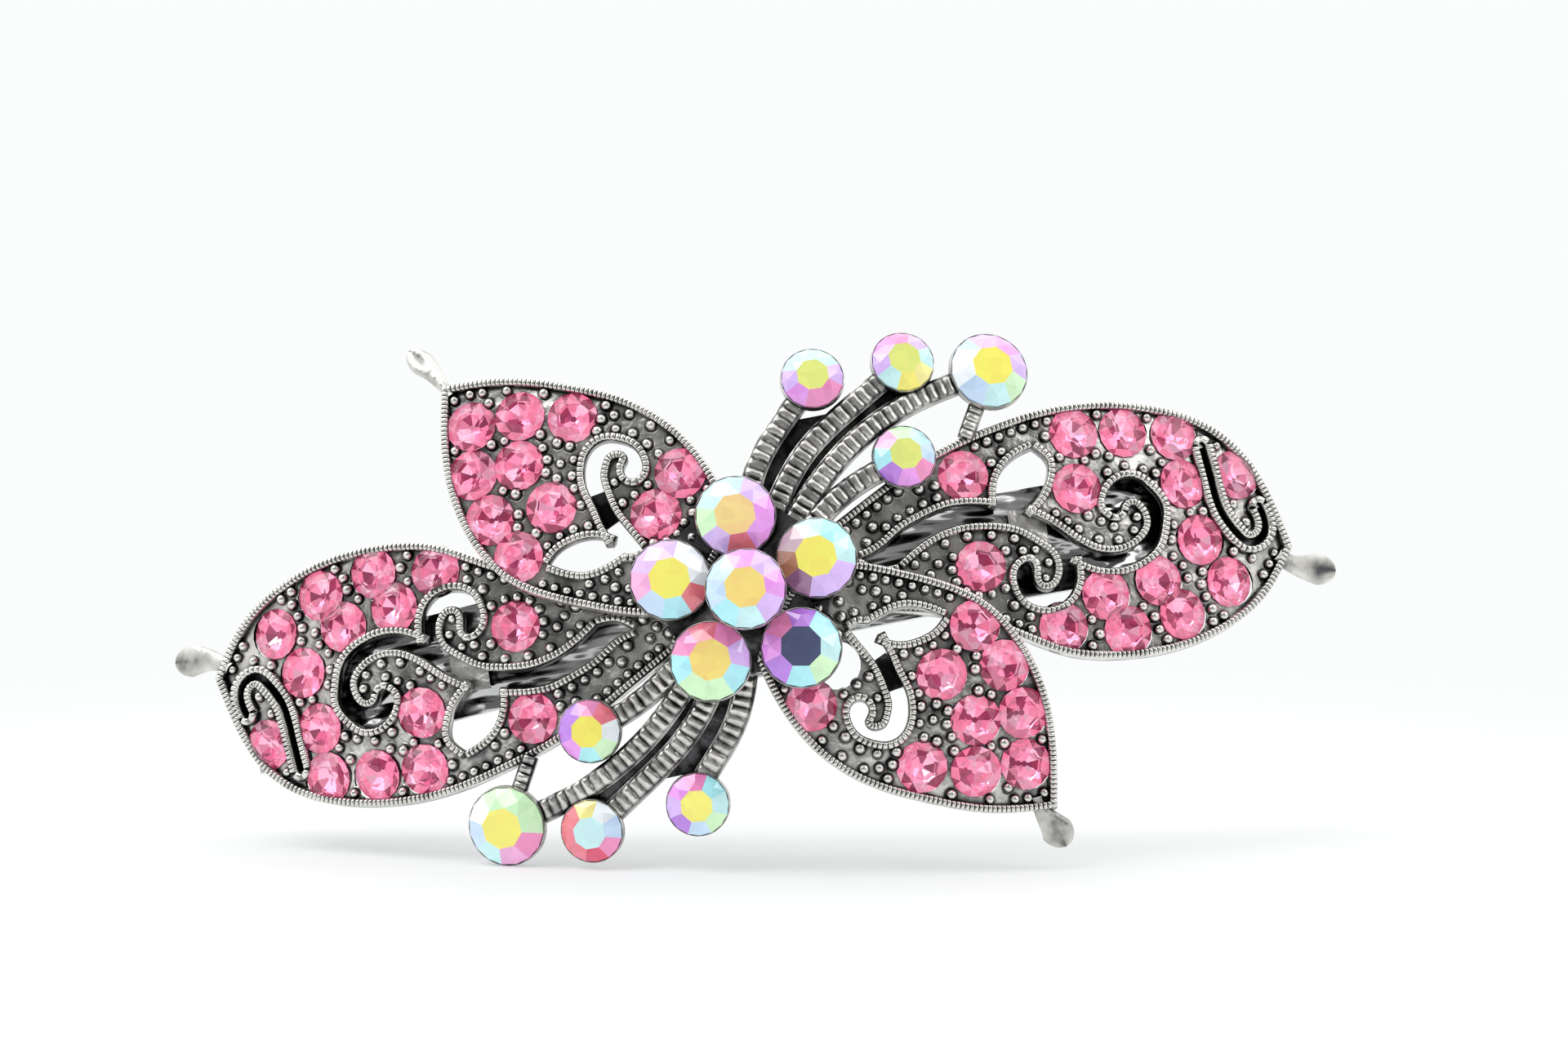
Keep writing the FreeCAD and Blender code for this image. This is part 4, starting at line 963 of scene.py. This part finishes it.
def pink_stones(name, rng):
    """The pink stones of one CAD node, each turned and tilted a little differently."""
    stones = Stones()
    clear = linear(PINKS["glass"])
    for place, axis, radius in stone_places(name):
        spin = rng.uniform(0, math.pi / 4)
        deep = [linear(PINKS[word]) for word in rng.sample(FOIL_FACETS, len(FOIL_FACETS))]
        tilted = axis + np.array([rng.gauss(0, PINK_LEAN) for _ in range(3)])
        tilted /= np.linalg.norm(tilted)
        cut_stone(stones, place + axis * PINK_RISE, tilted, radius * PINK_SWELL, spin, PINK_TABLE,
                  (clear, [clear] * SECTORS, deep), 1)
    return stones.piece(name.replace("_stones", "_pink_stones"), [PINK, FOIL])


# The coating's colours as each facet reflects them, painted facet by facet: white is a painted glint, night a
# painted dark reflection.
AURORA_COLOURS = {
    "gold": (0.97, 0.85, 0.48), "yellow": (0.97, 0.93, 0.42), "amber": (0.96, 0.83, 0.55),
    "lime": (0.88, 0.91, 0.5), "cream": (0.97, 0.93, 0.58), "mint": (0.82, 0.97, 0.78),
    "cyan": (0.67, 0.93, 0.97), "aqua": (0.78, 0.95, 0.96), "ice": (0.77, 0.87, 0.98),
    "white": (0.95, 0.98, 1.0), "lilac": (0.85, 0.72, 0.97), "orchid": (0.92, 0.6, 0.94),
    "violet": (0.72, 0.48, 0.89), "pink": (0.95, 0.68, 0.86), "rose": (0.94, 0.55, 0.76),
    "coral": (0.93, 0.48, 0.54), "red": (0.86, 0.28, 0.44), "brown": (0.7, 0.47, 0.38),
    "plum": (0.58, 0.4, 0.55), "dusk": (0.76, 0.66, 0.7), "night": (0.24, 0.28, 0.42),
}
# (x, z), table, and the crown facets counterclockwise from the right
AURORA_LOOKS = [
    ((0.1, 5.45), "amber", "orchid lilac ice aqua mint lilac coral orchid"),
    ((5.8, 1.3), "yellow", "aqua cyan aqua dusk brown plum lilac lilac"),
    ((3.6, -5.4), "night", "aqua cyan violet rose orchid violet cyan mint"),
    ((-3.4, -5.4), "gold", "lilac rose coral rose cyan mint mint cyan"),
    ((-5.6, 1.3), "yellow", "white white lilac lilac pink ice cyan coral"),
    ((0.1, -0.55), "gold", "orchid lilac orchid ice ice cyan aqua lilac"),
    ((7.5, 16.0), "lime", "lilac aqua aqua ice lilac orchid rose rose"),
    ((14.7, 16.4), "lime", "aqua lilac rose orchid lilac aqua yellow cream"),
    ((13.7, 8.8), "lime", "ice aqua mint pink cyan violet orchid rose"),
    ((21.3, 14.9), "yellow", "lilac orchid lilac ice white ice aqua mint"),
    ((-6.2, -15.7), "yellow", "aqua cyan rose orchid lilac violet ice mint"),
    ((-14.7, -16.4), "aqua", "ice white cream coral coral coral red rose"),
    ((-13.7, -8.8), "yellow", "white coral rose violet violet orchid cyan mint"),
    ((-21.3, -14.9), "yellow", "mint mint mint white ice aqua pink rose"),
]


def aurora_stones(name, rng):
    """The coated stones of one CAD node, each with the colours of the nearest row of the list."""
    stones = Stones()
    deep = [linear(AURORA_COLOURS["violet"])] * SECTORS
    for place, axis, radius in stone_places(name):
        look = min(AURORA_LOOKS, key=lambda row: math.hypot(row[0][0] - place[0], row[0][1] - place[2]))
        crown = [linear(AURORA_COLOURS[word]) for word in look[2].split()]
        spin = rng.uniform(-AURORA_SPIN, AURORA_SPIN)
        colours = (linear(AURORA_COLOURS[look[1]]), crown, deep)
        cut_stone(stones, place, axis, radius, spin, AURORA_TABLE, colours, 0)
    piece_name = name.replace("_stones", "").replace("_stone", "") + "_aurora_stones"
    return stones.piece(piece_name, [AURORA])


# ---- build ----
def place_piece(piece, node_name):
    """Puts a piece on the jewelled body in place of a CAD node."""
    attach(piece, BODY)
    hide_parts(node_name)


place_piece(long_casting(), "long_petal_casting")
place_piece(short_casting(), "short_petal_casting")
place_piece(flower_cups(), "flower_casting")
stone_rng = random.Random(3)
for name in LONG_STONES + SHORT_STONES:
    place_piece(pink_stones(name, stone_rng), name)
for name in FLOWER_STONES + SPRAY_STONES:
    place_piece(aurora_stones(name, stone_rng), name)
for name in STEEL_PIECES:
    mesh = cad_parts[name].data
    mesh.materials.clear()
    mesh.materials.append(BAR_STEEL if name == "base_bar" else STEEL)


# ---- studio ----
BACKDROP = (0.965, 0.98, 0.985, 1.0)
TABLE_LEAN = (math.radians(9), math.radians(-13))       # along X and along Y
TABLE_HALF = 1.2
TABLE_SHADES = [(0.0, (0.84, 0.855, 0.86)), (1.0, (0.87, 0.885, 0.89))]
FADE_FROM = 0.05          # metres from the middle, where the table starts to glow like the backdrop
FADE_TO = 0.14
LEAST_GLOW = 0.45


def table_shader(tree):
    """Pale and soft, fading into the backdrop, and clear for a camera below the table."""
    where = node(tree, "ShaderNodeTexCoord").outputs["Object"]
    colour = ramp(tree, noise(tree, where, 30.0, 2.0), TABLE_SHADES)
    matt = node(tree, "ShaderNodeBsdfDiffuse", {"Color": colour})
    glow = node(tree, "ShaderNodeEmission", {"Color": BACKDROP})
    away = node(tree, "ShaderNodeVectorMath", {0: where}, operation="LENGTH").outputs["Value"]
    span = {"Value": away, "From Min": FADE_FROM, "From Max": FADE_TO, "To Min": LEAST_GLOW}
    fade = node(tree, "ShaderNodeMapRange", span, interpolation_type="SMOOTHSTEP").outputs[0]
    below = node(tree, "ShaderNodeNewGeometry").outputs["Backfacing"]
    return mixed(tree, below, mixed(tree, fade, matt, glow), node(tree, "ShaderNodeBsdfTransparent"))


def floor():
    """The leaning table, as high as it gets before it cuts into the clip."""
    up = np.array([math.sin(TABLE_LEAN[0]), math.sin(TABLE_LEAN[1]), 1.0])
    up /= np.linalg.norm(up)
    points = np.concatenate([[tuple(o.matrix_world @ v.co) for v in o.data.vertices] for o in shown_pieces()])
    lowest = up * (points @ up).min()
    along = np.cross(up, (0.0, -1.0, 0.0))
    along *= TABLE_HALF / np.linalg.norm(along)
    back = np.cross(up, along)
    corners = [lowest + along * x + back * y for x, y in ((-1, -1), (1, -1), (1, 1), (-1, 1))]
    mesh = bpy.data.meshes.new("floor")
    mesh.from_pydata([tuple(c) for c in corners], [], [(0, 1, 2, 3)])
    mesh.materials.append(material("table_white", table_shader))
    new_object("floor", mesh)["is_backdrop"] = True


# Greys of the surroundings that the metal mirrors
FRONT_GREYS = [(0.0, 0.5), (0.05, 0.2), (0.2, 0.22), (0.3, 1.0), (1.0, 1.0)]  # from -Y to +Y
HEIGHT_GREYS = [(0.3, 0.7), (0.6, 1.0), (1.0, 1.5)]  # from -Z to +Z
# Name, place and size in metres, power
SOFTBOXES = [("softbox_above", (-0.25, -0.25, 0.55), (0.5, 0.4), 1.6),
             ("softbox_right", (0.5, -0.3, 0.25), (0.3, 0.3), 0.5)]


def surroundings(tree):
    """White with a dark side behind the camera. The camera itself sees the plain backdrop."""
    way = node(tree, "ShaderNodeTexCoord").outputs["Generated"]
    parts = node(tree, "ShaderNodeSeparateXYZ", {"Vector": way})
    front = ramp(tree, scaled(tree, parts.outputs["Y"], 0.5, 0.5), greys(FRONT_GREYS))
    above = ramp(tree, scaled(tree, parts.outputs["Z"], 0.5, 0.5), greys(HEIGHT_GREYS))
    light = node(tree, "ShaderNodeMix", {0: 1.0, 6: front, 7: above}, data_type="RGBA", blend_type="MULTIPLY")
    lit = node(tree, "ShaderNodeBackground", {"Color": light.outputs[2], "Strength": 1.0})
    seen = node(tree, "ShaderNodeBackground", {"Color": BACKDROP, "Strength": 1.0})
    camera_ray = node(tree, "ShaderNodeLightPath").outputs["Is Camera Ray"]
    return mixed(tree, camera_ray, lit, seen)


def softbox(name, place, size, power):
    """A lit rectangle that faces the clip."""
    data = bpy.data.lights.new(name, "AREA")
    data.shape = "RECTANGLE"
    data.size, data.size_y = size
    data.energy = power
    obj = new_object(name, data)
    obj.location = place
    obj.rotation_euler = (-Vector(place)).to_track_quat("-Z", "Y").to_euler()


YAW = math.radians(-0.73)
PITCH = math.radians(-7.09)
ROLL = math.radians(8.5)
CAMERA_DISTANCE = 0.55    # metres
VIEW_WIDTH = 0.1207547    # metres across the picture at that distance
SENSOR_WIDTH = 36.0
AIM = Vector((0.0, -0.0081, 0.0))
AIM_RIGHT = 0.00303       # how far the picture's middle lies from the aim, along the picture's own axes
AIM_UP = 0.00491


def camera():
    """The view of the photo."""
    ahead = Vector((math.sin(YAW) * math.cos(PITCH), math.cos(YAW) * math.cos(PITCH), -math.sin(PITCH)))
    right = Vector((math.cos(YAW), -math.sin(YAW), 0))
    up = Vector((math.sin(YAW) * math.sin(PITCH), math.cos(YAW) * math.sin(PITCH), math.cos(PITCH)))
    across = right * math.cos(ROLL) - up * math.sin(ROLL)
    upward = right * math.sin(ROLL) + up * math.cos(ROLL)
    data = bpy.data.cameras.new("camera")
    data.sensor_width = SENSOR_WIDTH
    data.lens = SENSOR_WIDTH * CAMERA_DISTANCE / VIEW_WIDTH
    data.clip_start = 0.01
    obj = new_object("camera", data)
    turn = Matrix((across, upward, -ahead)).transposed().to_4x4()
    place = AIM - ahead * CAMERA_DISTANCE + across * AIM_RIGHT + upward * AIM_UP
    obj.matrix_world = Matrix.Translation(place) @ turn
    bpy.context.scene.camera = obj


floor()
bpy.context.scene.world = build_nodes(bpy.data.worlds.new("studio"), "ShaderNodeOutputWorld", surroundings)
for lamp in SOFTBOXES:
    softbox(*lamp)
camera()
bpy.context.scene.view_settings.view_transform = "Standard"
